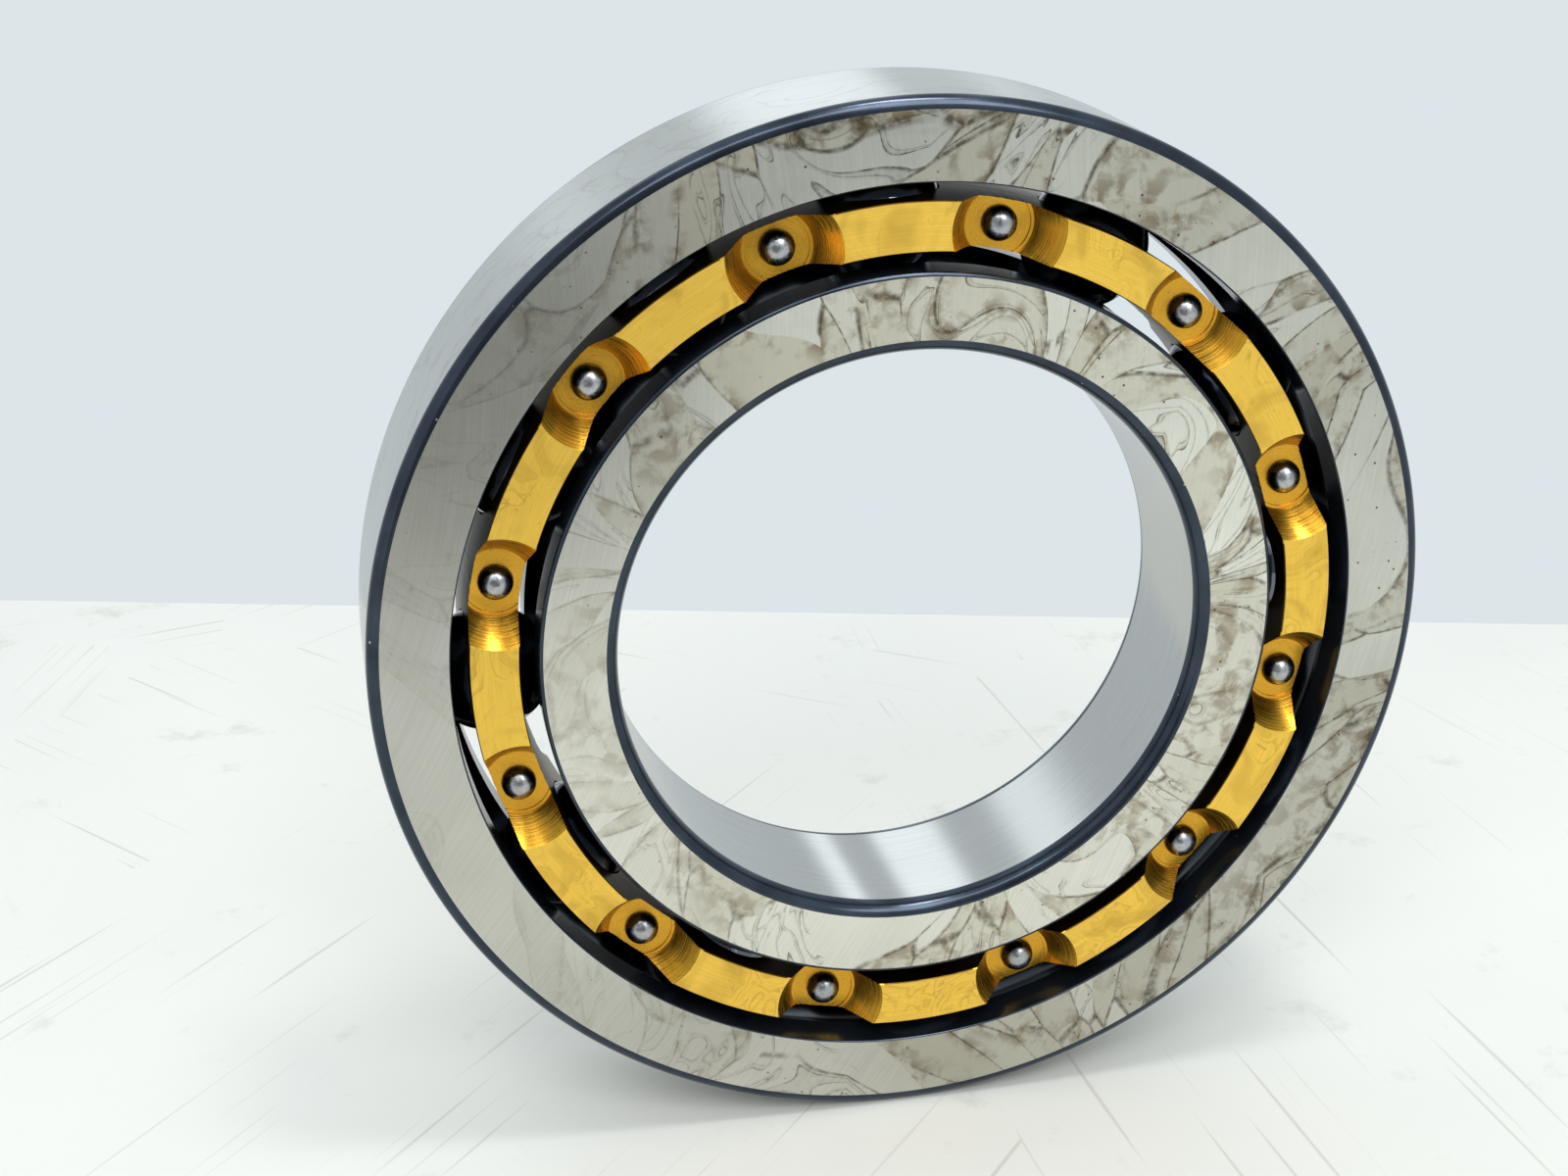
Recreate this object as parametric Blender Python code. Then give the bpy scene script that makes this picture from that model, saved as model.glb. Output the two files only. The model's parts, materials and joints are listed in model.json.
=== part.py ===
"""Single-row deep groove ball bearing with a two-piece machined brass cage.

The bearing turns about the Y axis and stands on its rim: +Z is up, -Y is its front face.
Lengths are in metres. The origin is the centre of the bearing.
Angles around the axis run from +X towards +Z.
"""

from math import acos, cos, pi, radians, sin, tan

import bmesh
import bpy
from mathutils import Matrix

# Boundary dimensions of the bearing
BORE_DIAMETER = 0.160
OUTSIDE_DIAMETER = 0.290
WIDTH = 0.048

# Rolling set. The balls run midway between the bore and the outside.
BALL_COUNT = 12
BALL_DIAMETER = 0.034
PITCH_DIAMETER = (BORE_DIAMETER + OUTSIDE_DIAMETER) / 2
BALL_CLEARANCE = 0.0003      # between a ball and the bottom of either raceway
GROOVE_CONFORMITY = 0.52     # raceway groove radius as a share of the ball diameter
FIRST_BALL_ANGLE = radians(3.5)

# Rings
OUTER_SHOULDER_OFFSET = 0.0111    # from the pitch circle out to the outer ring's shoulder
INNER_SHOULDER_OFFSET = 0.0115    # from the pitch circle in to the inner ring's shoulder
OUTER_CORNER = (0.0033, 0.0031)   # rounded corner at the outside diameter: radial, axial
BORE_CORNER = (0.0034, 0.0044)    # rounded corner at the bore: radial, axial
SHOULDER_CORNER = 0.0005          # small bevel between a side face and its shoulder

# Cage
CAGE_OUTSIDE_OFFSET = 0.0063  # from the pitch circle out to the cage's outside
CAGE_INSIDE_OFFSET = 0.0067   # from the pitch circle in to the cage's inside
CAGE_SETBACK = 0.0013        # how far the cage lies below the side faces of the rings
CAGE_SPLIT_GAP = 0.0003      # between the two halves
POCKET_CLEARANCE = 0.0004    # between a ball and its pocket
RIVET_WEB = 0.0257           # brass left between the two rivet seats, both halves together
SEAT_RADIUS = 0.0084         # flat seat around a rivet
SEAT_LEDGE = (0.0009, 0.0004)   # step between the seat and the recess wall: radial, axial
RECESS_WALL_ANGLE = radians(32)   # slope of the recess wall from the rivet's axis

# Rivets
RIVET_HEAD_DIAMETER = 0.0094
RIVET_HEAD_HEIGHT = 0.0041
RIVET_SHANK_DIAMETER = 0.0060
RIVET_FIT_GAP = 0.0003       # around the shank and under each head

# Fineness of the round shapes
RING_SEGMENTS = 72        # a multiple of the ball count keeps every pocket the same
CORNER_SEGMENTS = 3
GROOVE_SEGMENTS = 6
BALL_SUBDIVISIONS = 3
POCKET_SEGMENTS = 24
POCKET_RINGS = 12
RECESS_SEGMENTS = 20
RIVET_SEGMENTS = 10
DOME_SEGMENTS = 3
CUTTER_MARGIN = 0.002        # how far a cutter runs past the surface that it opens

# Sizes that follow from those above
HALF_WIDTH = WIDTH / 2
PITCH_RADIUS = PITCH_DIAMETER / 2
BALL_RADIUS = BALL_DIAMETER / 2
GROOVE_RADIUS = GROOVE_CONFORMITY * BALL_DIAMETER
POCKET_RADIUS = BALL_RADIUS + POCKET_CLEARANCE
CAGE_FACE = HALF_WIDTH - CAGE_SETBACK
SEAT_LEVEL = RIVET_WEB / 2
HOLE_RADIUS = RIVET_SHANK_DIAMETER / 2 + RIVET_FIT_GAP
STEP_ANGLE = 2 * pi / BALL_COUNT


def paint(name, colour, roughness, metallic=1.0):
    """A plain material in the colour of the real finish."""
    material = bpy.data.materials.new(name)
    material.use_nodes = True
    shader = material.node_tree.nodes["Principled BSDF"]
    shader.inputs["Base Color"].default_value = (*colour, 1.0)
    shader.inputs["Roughness"].default_value = roughness
    shader.inputs["Metallic"].default_value = metallic
    return material


def piece(name, mesh, material, parent=None):
    """A named object for one piece, shaded smooth up to its sharp edges."""
    mesh.shade_smooth()
    mesh.set_sharp_from_angle(angle=radians(35))
    mesh.materials.clear()
    mesh.materials.append(material)
    made = bpy.data.objects.new(name, mesh)
    bpy.context.scene.collection.objects.link(made)
    made.parent = parent
    return made


def axis_marker(name, parent=None):
    """An empty on the bearing's axis, which carries the pieces that turn together."""
    made = bpy.data.objects.new(name, None)
    bpy.context.scene.collection.objects.link(made)
    made.parent = parent
    return made


def arc(centre, radii, start, end, segments):
    """Points on an elliptical arc, as (radius, axial) pairs. It includes both ends."""
    points = []
    for i in range(segments + 1):
        angle = start + (end - start) * i / segments
        points.append((centre[0] + radii[0] * cos(angle), centre[1] + radii[1] * sin(angle)))
    return points


def spin_outline(bm, outline, segments, on_axis=False):
    """Turns an outline of (radius, axial) points about the Y axis into a closed skin."""
    verts = [bm.verts.new((radius, axial, 0)) for radius, axial in outline]
    edges = [bm.edges.new(pair) for pair in zip(verts, verts[1:])]
    if not on_axis:
        edges.append(bm.edges.new((verts[-1], verts[0])))
    bmesh.ops.spin(
        bm,
        geom=verts + edges,
        cent=(0, 0, 0),
        axis=(0, 1, 0),
        angle=2 * pi,
        steps=segments,
        use_merge=True,
    )
    bmesh.ops.remove_doubles(bm, verts=bm.verts, dist=1e-6)
    bmesh.ops.recalc_face_normals(bm, faces=bm.faces)


def turned_mesh(name, outline, segments, on_axis=False):
    bm = bmesh.new()
    spin_outline(bm, outline, segments, on_axis)
    mesh = bpy.data.meshes.new(name)
    bm.to_mesh(mesh)
    bm.free()
    return mesh


def ring_outline(rim, shoulder, raceway, rim_corner, outward):
    """The section of a ring. rim is the bore or the outside, and outward is 1 where the rim is outside."""
    groove_centre = raceway - outward * GROOVE_RADIUS
    half_angle = acos(outward * (shoulder - groove_centre) / GROOVE_RADIUS)
    corner_centre = (rim - outward * rim_corner[0], HALF_WIDTH - rim_corner[1])
    radii = (outward * rim_corner[0], rim_corner[1])
    back = arc(corner_centre, radii, 0, pi / 2, CORNER_SEGMENTS)
    back.append((shoulder + outward * SHOULDER_CORNER, HALF_WIDTH))
    back.append((shoulder, HALF_WIDTH - SHOULDER_CORNER))
    groove = arc(
        (groove_centre, 0), (outward * GROOVE_RADIUS, GROOVE_RADIUS), half_angle, -half_angle, GROOVE_SEGMENTS
    )
    front = [(radius, -axial) for radius, axial in reversed(back)]
    return back + groove + front


def outer_ring_mesh():
    raceway = PITCH_RADIUS + BALL_RADIUS + BALL_CLEARANCE
    shoulder = PITCH_RADIUS + OUTER_SHOULDER_OFFSET
    outline = ring_outline(OUTSIDE_DIAMETER / 2, shoulder, raceway, OUTER_CORNER, 1)
    return turned_mesh("outer_ring", outline, RING_SEGMENTS)


def inner_ring_mesh():
    raceway = PITCH_RADIUS - BALL_RADIUS - BALL_CLEARANCE
    shoulder = PITCH_RADIUS - INNER_SHOULDER_OFFSET
    outline = ring_outline(BORE_DIAMETER / 2, shoulder, raceway, BORE_CORNER, -1)
    return turned_mesh("inner_ring", outline, RING_SEGMENTS)


def ball_mesh():
    bm = bmesh.new()
    bmesh.ops.create_icosphere(bm, subdivisions=BALL_SUBDIVISIONS, radius=BALL_RADIUS)
    mesh = bpy.data.meshes.new("ball")
    bm.to_mesh(mesh)
    bm.free()
    return mesh


def rivet_mesh():
    """A rivet along Y, centred on the joint between the cage halves, with a dome head at each end."""
    head_radius = RIVET_HEAD_DIAMETER / 2
    shank_radius = RIVET_SHANK_DIAMETER / 2
    under_head = SEAT_LEVEL + RIVET_FIT_GAP
    dome = arc((0, under_head), (head_radius, RIVET_HEAD_HEIGHT), pi / 2, 0, DOME_SEGMENTS)
    dome[0] = (0, under_head + RIVET_HEAD_HEIGHT)
    back = dome + [(shank_radius, under_head)]
    front = [(radius, -axial) for radius, axial in reversed(back)]
    return turned_mesh("rivet", back + front, RIVET_SEGMENTS, on_axis=True)


def at_angle(angle, radius=0.0):
    """The place of something that lies on +X at angle zero, turned about the bearing's axis."""
    return Matrix.Rotation(-angle, 4, "Y") @ Matrix.Translation((radius, 0, 0))


def ball_place(index):
    """Balls and rivets are placed from the first ball, which lies on the cage's own +X."""
    return at_angle(index * STEP_ANGLE, PITCH_RADIUS)


def rivet_place(index):
    return at_angle((index + 0.5) * STEP_ANGLE, PITCH_RADIUS)


def cutter(name, bm):
    """A wire-drawn object that only shapes the cage."""
    mesh = bpy.data.meshes.new(name)
    bm.to_mesh(mesh)
    bm.free()
    made = bpy.data.objects.new(name, mesh)
    bpy.context.scene.collection.objects.link(made)
    made.hide_render = True
    made.display_type = "WIRE"
    return made


def add_copies(bm, mesh, places):
    for place in places:
        first = len(bm.verts)
        bm.from_mesh(mesh)
        bm.verts.ensure_lookup_table()
        bmesh.ops.transform(bm, matrix=place, verts=bm.verts[first:])


def pocket_cutter():
    """Round pockets for the balls. Each sphere has its poles on the radial line."""
    bm = bmesh.new()
    for index in range(BALL_COUNT):
        poles_outward = ball_place(index) @ Matrix.Rotation(pi / 2, 4, "Y")
        bmesh.ops.create_uvsphere(
            bm, u_segments=POCKET_SEGMENTS, v_segments=POCKET_RINGS, radius=POCKET_RADIUS, matrix=poles_outward
        )
    return cutter("pocket_cutter", bm)


def rivet_seat_cutter():
    """The stepped tool that bores each rivet hole and cuts the conical recess in front of it."""
    reach = CAGE_FACE + CUTTER_MARGIN
    foot_radius = SEAT_RADIUS + SEAT_LEDGE[0]
    foot_level = SEAT_LEVEL + SEAT_LEDGE[1]
    mouth_radius = foot_radius + (reach - foot_level) * tan(RECESS_WALL_ANGLE)
    outline = [
        (0, CUTTER_MARGIN),
        (HOLE_RADIUS, CUTTER_MARGIN),
        (HOLE_RADIUS, -SEAT_LEVEL),
        (SEAT_RADIUS, -SEAT_LEVEL),
        (SEAT_RADIUS, -foot_level),
        (foot_radius, -foot_level),
        (mouth_radius, -reach),
        (0, -reach),
    ]
    tool = turned_mesh("rivet_seat_tool", outline, RECESS_SEGMENTS, on_axis=True)
    bm = bmesh.new()
    add_copies(bm, tool, [rivet_place(index) for index in range(BALL_COUNT)])
    bpy.data.meshes.remove(tool)
    return cutter("rivet_seat_cutter", bm)


def cage_half_mesh():
    """The front half: a turned ring with its pockets, recesses and rivet holes cut out."""
    inside = PITCH_RADIUS - CAGE_INSIDE_OFFSET
    outside = PITCH_RADIUS + CAGE_OUTSIDE_OFFSET
    joint = -CAGE_SPLIT_GAP / 2
    outline = [(outside, joint), (outside, -CAGE_FACE), (inside, -CAGE_FACE), (inside, joint)]
    blank = bpy.data.objects.new("cage_blank", turned_mesh("cage_blank", outline, RING_SEGMENTS))
    bpy.context.scene.collection.objects.link(blank)
    cutters = [pocket_cutter(), rivet_seat_cutter()]
    for tool in cutters:
        cut = blank.modifiers.new(tool.name, "BOOLEAN")
        cut.object = tool
        cut.operation = "DIFFERENCE"
        cut.solver = "EXACT"
    bpy.context.view_layer.update()
    machined = blank.evaluated_get(bpy.context.evaluated_depsgraph_get())
    mesh = bpy.data.meshes.new_from_object(machined)
    mesh.name = "cage_half"
    for helper in [blank, *cutters]:
        bpy.data.objects.remove(helper)
    return mesh


def make_bearing():
    ring_steel = paint("ground ring steel", (0.62, 0.61, 0.58), 0.32)
    brass = paint("machined brass", (0.72, 0.45, 0.12), 0.35)
    ball_steel = paint("polished ball steel", (0.60, 0.60, 0.61), 0.10)
    rivet_steel = paint("rivet steel", (0.42, 0.41, 0.40), 0.28)

    bearing = axis_marker("bearing_axis")
    piece("outer_ring", outer_ring_mesh(), ring_steel, bearing)
    piece("inner_ring", inner_ring_mesh(), ring_steel, bearing)

    cage = axis_marker("cage_axis", bearing)
    cage.matrix_basis = at_angle(FIRST_BALL_ANGLE)
    half = cage_half_mesh()
    piece("cage_front", half, brass, cage)
    # The back half is the same part turned over about the line through the first ball, so the pockets meet.
    back = piece("cage_back", half, brass, cage)
    back.matrix_basis = Matrix.Rotation(pi, 4, "X")

    ball = ball_mesh()
    rivet = rivet_mesh()
    for index in range(BALL_COUNT):
        ball_object = piece(f"ball_{index + 1:02d}", ball, ball_steel, cage)
        ball_object.matrix_basis = ball_place(index)
        rivet_object = piece(f"rivet_{index + 1:02d}", rivet, rivet_steel, cage)
        rivet_object.matrix_basis = rivet_place(index)


for leftover in list(bpy.data.objects):
    bpy.data.objects.remove(leftover)
make_bearing()
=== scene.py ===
"""Looks for a single-row deep groove ball bearing with a two-piece machined brass cage.

The bearing stands on its rim. Its axis lies along Y, with the front face towards -Y and +Z up.
Lengths are in metres in the meshes, and in millimetres inside the materials.
"""

import json
from math import acos, atan2, cos, hypot, pi, radians, sin, tan

import bmesh
import bpy
from bpy.props import FloatProperty, FloatVectorProperty, IntProperty, PointerProperty
from mathutils import Matrix, Vector, noise


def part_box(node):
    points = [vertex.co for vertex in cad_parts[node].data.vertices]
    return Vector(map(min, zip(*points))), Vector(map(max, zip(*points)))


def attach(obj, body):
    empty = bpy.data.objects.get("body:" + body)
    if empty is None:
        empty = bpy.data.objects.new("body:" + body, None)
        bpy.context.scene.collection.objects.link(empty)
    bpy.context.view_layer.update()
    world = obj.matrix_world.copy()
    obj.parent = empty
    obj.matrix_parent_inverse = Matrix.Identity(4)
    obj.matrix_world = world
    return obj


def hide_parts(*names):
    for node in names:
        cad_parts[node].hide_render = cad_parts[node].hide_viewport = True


bl_info = {
    "name": "Machined-cage Ball Bearing",
    "version": (1, 0, 0),
    "blender": (4, 5, 0),
    "location": "3D View > Sidebar > Bearing",
    "description": "Builds the finished rings, brass cage, rivets and balls of a deep groove ball bearing",
    "category": "Object",
}

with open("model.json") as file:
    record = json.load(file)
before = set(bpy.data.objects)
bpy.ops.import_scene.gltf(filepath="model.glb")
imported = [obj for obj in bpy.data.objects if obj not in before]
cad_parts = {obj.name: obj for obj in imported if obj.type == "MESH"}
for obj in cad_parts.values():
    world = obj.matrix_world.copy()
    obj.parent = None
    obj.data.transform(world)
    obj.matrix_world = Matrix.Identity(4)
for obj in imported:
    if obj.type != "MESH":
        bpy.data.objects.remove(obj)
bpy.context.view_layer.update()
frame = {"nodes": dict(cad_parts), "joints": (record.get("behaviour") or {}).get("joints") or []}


def node_reach(name):
    """The smallest and largest distance of a frame node from the bearing's axis."""
    distances = [hypot(v.co.x, v.co.z) for v in frame["nodes"][name].data.vertices]
    return min(distances), max(distances)


def ball_centres():
    """Where each ball sits, by the body it rides on."""
    return {
        joint["child"]: Vector(joint["pos_m"])
        for joint in frame["joints"]
        if joint["child"].startswith("ball_")
    }


OUTER_SHOULDER, OUTSIDE_RADIUS = node_reach("outer_ring")
BORE_RADIUS, INNER_SHOULDER = node_reach("inner_ring")
CAGE_OUTSIDE = node_reach("cage_front")[1]
HALF_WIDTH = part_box("outer_ring")[1].y
CAGE_FACE = -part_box("cage_front")[0].y
CAGE_JOINT = -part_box("cage_front")[1].y
RIVET_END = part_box("rivet_01")[1].y
BALL_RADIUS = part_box("ball_01")[1].y
BALL_CENTRES = ball_centres()
BALL_COUNT = len(BALL_CENTRES)
STEP_ANGLE = 2 * pi / BALL_COUNT
PITCH_RADIUS = hypot(BALL_CENTRES["ball_01"].x, BALL_CENTRES["ball_01"].z)
FIRST_BALL_ANGLE = atan2(BALL_CENTRES["ball_01"].z, BALL_CENTRES["ball_01"].x)
FIRST_RIVET_ANGLE = FIRST_BALL_ANGLE + STEP_ANGLE / 2
RIVETS = [f"rivet_{index + 1:02d}" for index in range(BALL_COUNT)]


def linear(hex_colour):
    """An sRGB hex colour as linear red, green, blue and alpha."""
    channels = [int(hex_colour[i : i + 2], 16) / 255 for i in (1, 3, 5)]
    return (*(c / 12.92 if c <= 0.04045 else ((c + 0.055) / 1.055) ** 2.4 for c in channels), 1.0)


def length_setting(label, about, default):
    return FloatProperty(name=label, description=about, default=default, min=0.0, unit="LENGTH", precision=5)


def colour_setting(label, about, hex_colour):
    return FloatVectorProperty(
        name=label, description=about, default=linear(hex_colour), size=4, min=0.0, max=1.0, subtype="COLOR"
    )


class BearingRingSettings(bpy.types.PropertyGroup):
    raceway_clearance: length_setting(
        "Raceway clearance", "Gap between a ball and the bottom of either raceway", 0.0003
    )
    groove_conformity: FloatProperty(
        name="Groove conformity", description="Raceway groove radius over ball diameter", default=0.52
    )
    outer_corner_radial: length_setting("Outer corner, radial", "Rounding at the outside, radially", 0.0033)
    outer_corner_axial: length_setting("Outer corner, axial", "Rounding at the outside, axially", 0.0031)
    bore_corner_radial: length_setting("Bore corner, radial", "Rounding at the bore, radially", 0.0034)
    bore_corner_axial: length_setting("Bore corner, axial", "Rounding at the bore, axially", 0.0044)
    outer_shoulder_corner: length_setting(
        "Outer shoulder corner", "Rounding where the outer ring's side face meets its shoulder", 0.0005
    )
    inner_shoulder_corner: length_setting(
        "Inner shoulder corner", "Rounding where the inner ring's side face meets its shoulder", 0.0011
    )
    segments: IntProperty(name="Segments", description="Steps around each ring", default=360, min=24)


class BearingCageSettings(bpy.types.PropertyGroup):
    thickness: length_setting("Thickness", "Radial thickness of the cage", 0.013)
    edge_bevel: length_setting("Edge bevel", "Bevel turned on the outer edges of each half", 0.00025)
    pocket_clearance: length_setting("Pocket clearance", "Gap between a ball and its pocket", 0.0004)
    rivet_web: length_setting("Rivet web", "Brass left between two opposite rivet seats", 0.0257)
    seat_radius: length_setting("Seat radius", "Flat seat around a rivet", 0.0084)
    ledge_radial: length_setting("Ledge, radial", "Step from the seat to the recess wall, radially", 0.0009)
    ledge_axial: length_setting("Ledge, axial", "Step from the seat to the recess wall, axially", 0.0004)
    wall_angle: FloatProperty(
        name="Wall angle", description="Slope of the recess wall", default=radians(32), subtype="ANGLE"
    )
    rivet_hole: length_setting("Rivet hole", "Radius of a rivet hole", 0.0033)
    rivet_head: length_setting("Rivet head", "Radius of a rivet head", 0.0047)
    rivet_shank: length_setting("Rivet shank", "Radius of a rivet shank", 0.0030)
    burr: length_setting("Burr", "Raggedness left by the milling tool on the thin edges", 0.00012)
    segments: IntProperty(name="Segments", description="Steps around the cage blank", default=1080, min=24)


class BearingFinishSettings(bpy.types.PropertyGroup):
    ground_steel: colour_setting("Ground steel", "Bare bearing steel of the side faces", "#C4C3BA")
    round_steel: colour_setting("Round steel", "Bare bearing steel of the bore and the outside", "#BDBDBB")
    film: colour_setting("Film", "Dried preservative film on the side faces", "#ACA896")
    film_edge: colour_setting("Film edge", "Brown outline where the film dried last", "#453B2B")
    film_blotch: colour_setting("Film blotch", "Thicker brown residue", "#706047")
    oxide: colour_setting("Oxide", "Blue-black heat-treatment scale on corners and shoulders", "#363D48")
    # Painted shade: the raceway colour is kept very dark, standing in for the shade in the gap between the
    # rings.
    raceway: colour_setting("Raceway", "Honed raceway steel kept dark for painted shade", "#34373D")
    brass: colour_setting("Brass", "Faced leaded brass", "#F4C957")
    cut_brass: colour_setting("Cut brass", "Brass freshly cut by the seat cutter", "#E0A838")
    tarnish: colour_setting("Tarnish", "Brown smears on the brass", "#9A6E28")
    # Painted shade: the turned diameters and the pockets take this dark colour, standing in for their shade;
    # the lead pits use it too.
    pit_and_shade_brass: colour_setting("Pit and shade brass", "Turned brass coloured as painted shade, also for lead pits", "#4A3818")
    rivet: colour_setting("Rivet", "Polished crown of a rivet", "#B4B4B6")
    # Painted shade: the flank of each rivet takes this dark colour, standing in for the dark it reflects.
    rivet_flank_painted_shade: colour_setting("Rivet flank", "Painted shade on the flank of a rivet", "#3C3833")
    # Painted shade: the ball colour is kept dark, standing in for the shade in the gap between the rings.
    ball: colour_setting("Ball", "Lapped ball steel", "#6A6D72")


class BearingStageSettings(bpy.types.PropertyGroup):
    table: colour_setting("Table", "Plain pale table top", "#DAD8D2")
    scuff: colour_setting("Scuff", "Brown scuffs on the table top", "#8C8272")
    surround: colour_setting("Surround", "Pale wall light around the table", "#DCE5E9")
    surround_strength: FloatProperty(
        name="Surround strength", description="Brightness of the wall light", default=1.0
    )
    edge_distance: length_setting("Edge distance", "From the bearing to the far edge of the table", 0.349)
    edge_turn: FloatProperty(
        name="Edge turn",
        description="How far the table's far edge is turned",
        default=radians(-14.5),
        subtype="ANGLE",
    )


def node(tree, kind, sockets=None, **settings):
    """Adds a node. sockets holds, by name or number, a value or the node or output that feeds it."""
    made = tree.nodes.new(kind)
    for name, value in settings.items():
        setattr(made, name, value)
    for key, value in (sockets or {}).items():
        usable = [s for s in made.inputs if s.enabled]
        socket = made.inputs[key] if isinstance(key, int) else next(s for s in usable if s.name == key)
        if isinstance(value, bpy.types.Node):
            value = next(s for s in value.outputs if s.enabled)
        if isinstance(value, bpy.types.NodeSocket):
            tree.links.new(value, socket)
        else:
            socket.default_value = value
    return made


# Shapes


def arc(centre, radii, start, end, segments):
    """Points on an elliptical arc, as (radius, axial) pairs. It includes both ends."""
    steps = [start + (end - start) * i / segments for i in range(segments + 1)]
    return [(centre[0] + radii[0] * cos(a), centre[1] + radii[1] * sin(a)) for a in steps]


def section_mesh(outline, closed):
    """An outline of (radius, axial) points as a wire in the XY plane."""
    count = len(outline)
    edges = [(i, i + 1) for i in range(count - 1)]
    if closed:
        edges.append((count - 1, 0))
    mesh = bpy.data.meshes.new("section")
    mesh.from_pydata([(radius, axial, 0) for radius, axial in outline], edges, [])
    return mesh


def new_tree(name, inputs):
    """An empty geometry tree with a geometry input, the named inputs and a geometry output."""
    tree = bpy.data.node_groups.new(name, "GeometryNodeTree")
    tree.interface.new_socket("Geometry", in_out="INPUT", socket_type="NodeSocketGeometry")
    for label, kind in inputs.items():
        tree.interface.new_socket(label, in_out="INPUT", socket_type="NodeSocket" + kind)
    tree.interface.new_socket("Geometry", in_out="OUTPUT", socket_type="NodeSocketGeometry")
    return tree, tree.nodes.new("NodeGroupInput").outputs


def close_tree(tree, geometry, material):
    """Ends a tree in Realize Instances and Set Material."""
    real = node(tree, "GeometryNodeRealizeInstances", {"Geometry": geometry})
    painted = node(tree, "GeometryNodeSetMaterial", {"Geometry": real, "Material": material})
    node(tree, "NodeGroupOutput", {"Geometry": painted})
    return tree


WELD_DISTANCE = 1e-6   # joins the seam and the poles of a turned shape


def turning_tree():
    """Turns a section about the Y axis, as a lathe would. Wrap is 1 for a section that closes on itself."""
    tree, given = new_tree("turned shape", {"Segments": "Int", "Wrap": "Int", "Material": "Material"})
    size = node(tree, "GeometryNodeAttributeDomainSize", {"Geometry": given["Geometry"]})
    points = size.outputs["Point Count"]
    columns = node(tree, "ShaderNodeMath", {0: points, 1: given["Wrap"]}, operation="ADD")
    rows = node(tree, "ShaderNodeMath", {0: given["Segments"], 1: 1.0}, operation="ADD")
    grid = node(tree, "GeometryNodeMeshGrid", {"Vertices X": rows, "Vertices Y": columns})
    index = node(tree, "GeometryNodeInputIndex")
    column = node(tree, "ShaderNodeMath", {0: index, 1: columns}, operation="MODULO")
    along = node(tree, "ShaderNodeMath", {0: column, 1: points}, operation="MODULO")
    quotient = node(tree, "ShaderNodeMath", {0: index, 1: columns}, operation="DIVIDE")
    row = node(tree, "ShaderNodeMath", {0: quotient}, operation="FLOOR")
    turn = node(tree, "ShaderNodeMath", {0: row, 1: given["Segments"]}, operation="DIVIDE")
    angle = node(tree, "ShaderNodeMath", {0: turn, 1: 2 * pi}, operation="MULTIPLY")
    place = node(tree, "GeometryNodeInputPosition")
    sampled = node(
        tree,
        "GeometryNodeSampleIndex",
        {"Geometry": given["Geometry"], "Value": place, "Index": along},
        data_type="FLOAT_VECTOR",
    )
    swung = node(tree, "ShaderNodeVectorRotate", {"Vector": sampled, "Angle": angle}, rotation_type="Y_AXIS")
    moved = node(tree, "GeometryNodeSetPosition", {"Geometry": grid, "Position": swung})
    merged = node(tree, "GeometryNodeMergeByDistance", {"Geometry": moved, "Distance": WELD_DISTANCE})
    return close_tree(tree, merged, given["Material"])


def spacing_tree():
    """Sets copies of a shape at equal steps around the Y axis, each turned to face outward."""
    inputs = {"Count": "Int", "Radius": "Float", "First Angle": "Float", "Step": "Float"}
    tree, given = new_tree("spaced round the axis", {**inputs, "Material": "Material"})
    index = node(tree, "GeometryNodeInputIndex")
    sockets = {0: index, 1: given["Step"], 2: given["First Angle"]}
    angle = node(tree, "ShaderNodeMath", sockets, operation="MULTIPLY_ADD")
    cosine = node(tree, "ShaderNodeMath", {0: angle}, operation="COSINE")
    sine = node(tree, "ShaderNodeMath", {0: angle}, operation="SINE")
    across = node(tree, "ShaderNodeMath", {0: cosine, 1: given["Radius"]}, operation="MULTIPLY")
    upward = node(tree, "ShaderNodeMath", {0: sine, 1: given["Radius"]}, operation="MULTIPLY")
    place = node(tree, "ShaderNodeCombineXYZ", {"X": across, "Z": upward})
    points = node(tree, "GeometryNodePoints", {"Count": given["Count"], "Position": place})
    back_turn = node(tree, "ShaderNodeMath", {0: angle, 1: -1.0}, operation="MULTIPLY")
    euler = node(tree, "ShaderNodeCombineXYZ", {"Y": back_turn})
    facing = node(tree, "FunctionNodeEulerToRotation", {"Euler": euler})
    sockets = {"Points": points, "Instance": given["Geometry"], "Rotation": facing}
    copies = node(tree, "GeometryNodeInstanceOnPoints", sockets)
    return close_tree(tree, copies, given["Material"])


def milling_tree():
    """Cuts the ball pockets and the stepped rivet seats out of a turned blank."""
    inputs = {"Pocket Tools": "Object", "Seat Tools": "Object", "Material": "Material"}
    tree, given = new_tree("milled from a blank", inputs)
    pockets = node(tree, "GeometryNodeObjectInfo", {"Object": given["Pocket Tools"]})
    seats = node(tree, "GeometryNodeObjectInfo", {"Object": given["Seat Tools"]})
    cut = node(
        tree,
        "GeometryNodeMeshBoolean",
        {"Mesh 1": given["Geometry"]},
        operation="DIFFERENCE",
        solver="EXACT",
    )
    tree.links.new(pockets.outputs["Geometry"], cut.inputs["Mesh 2"])
    tree.links.new(seats.outputs["Geometry"], cut.inputs["Mesh 2"])
    return close_tree(tree, cut, given["Material"])


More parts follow.
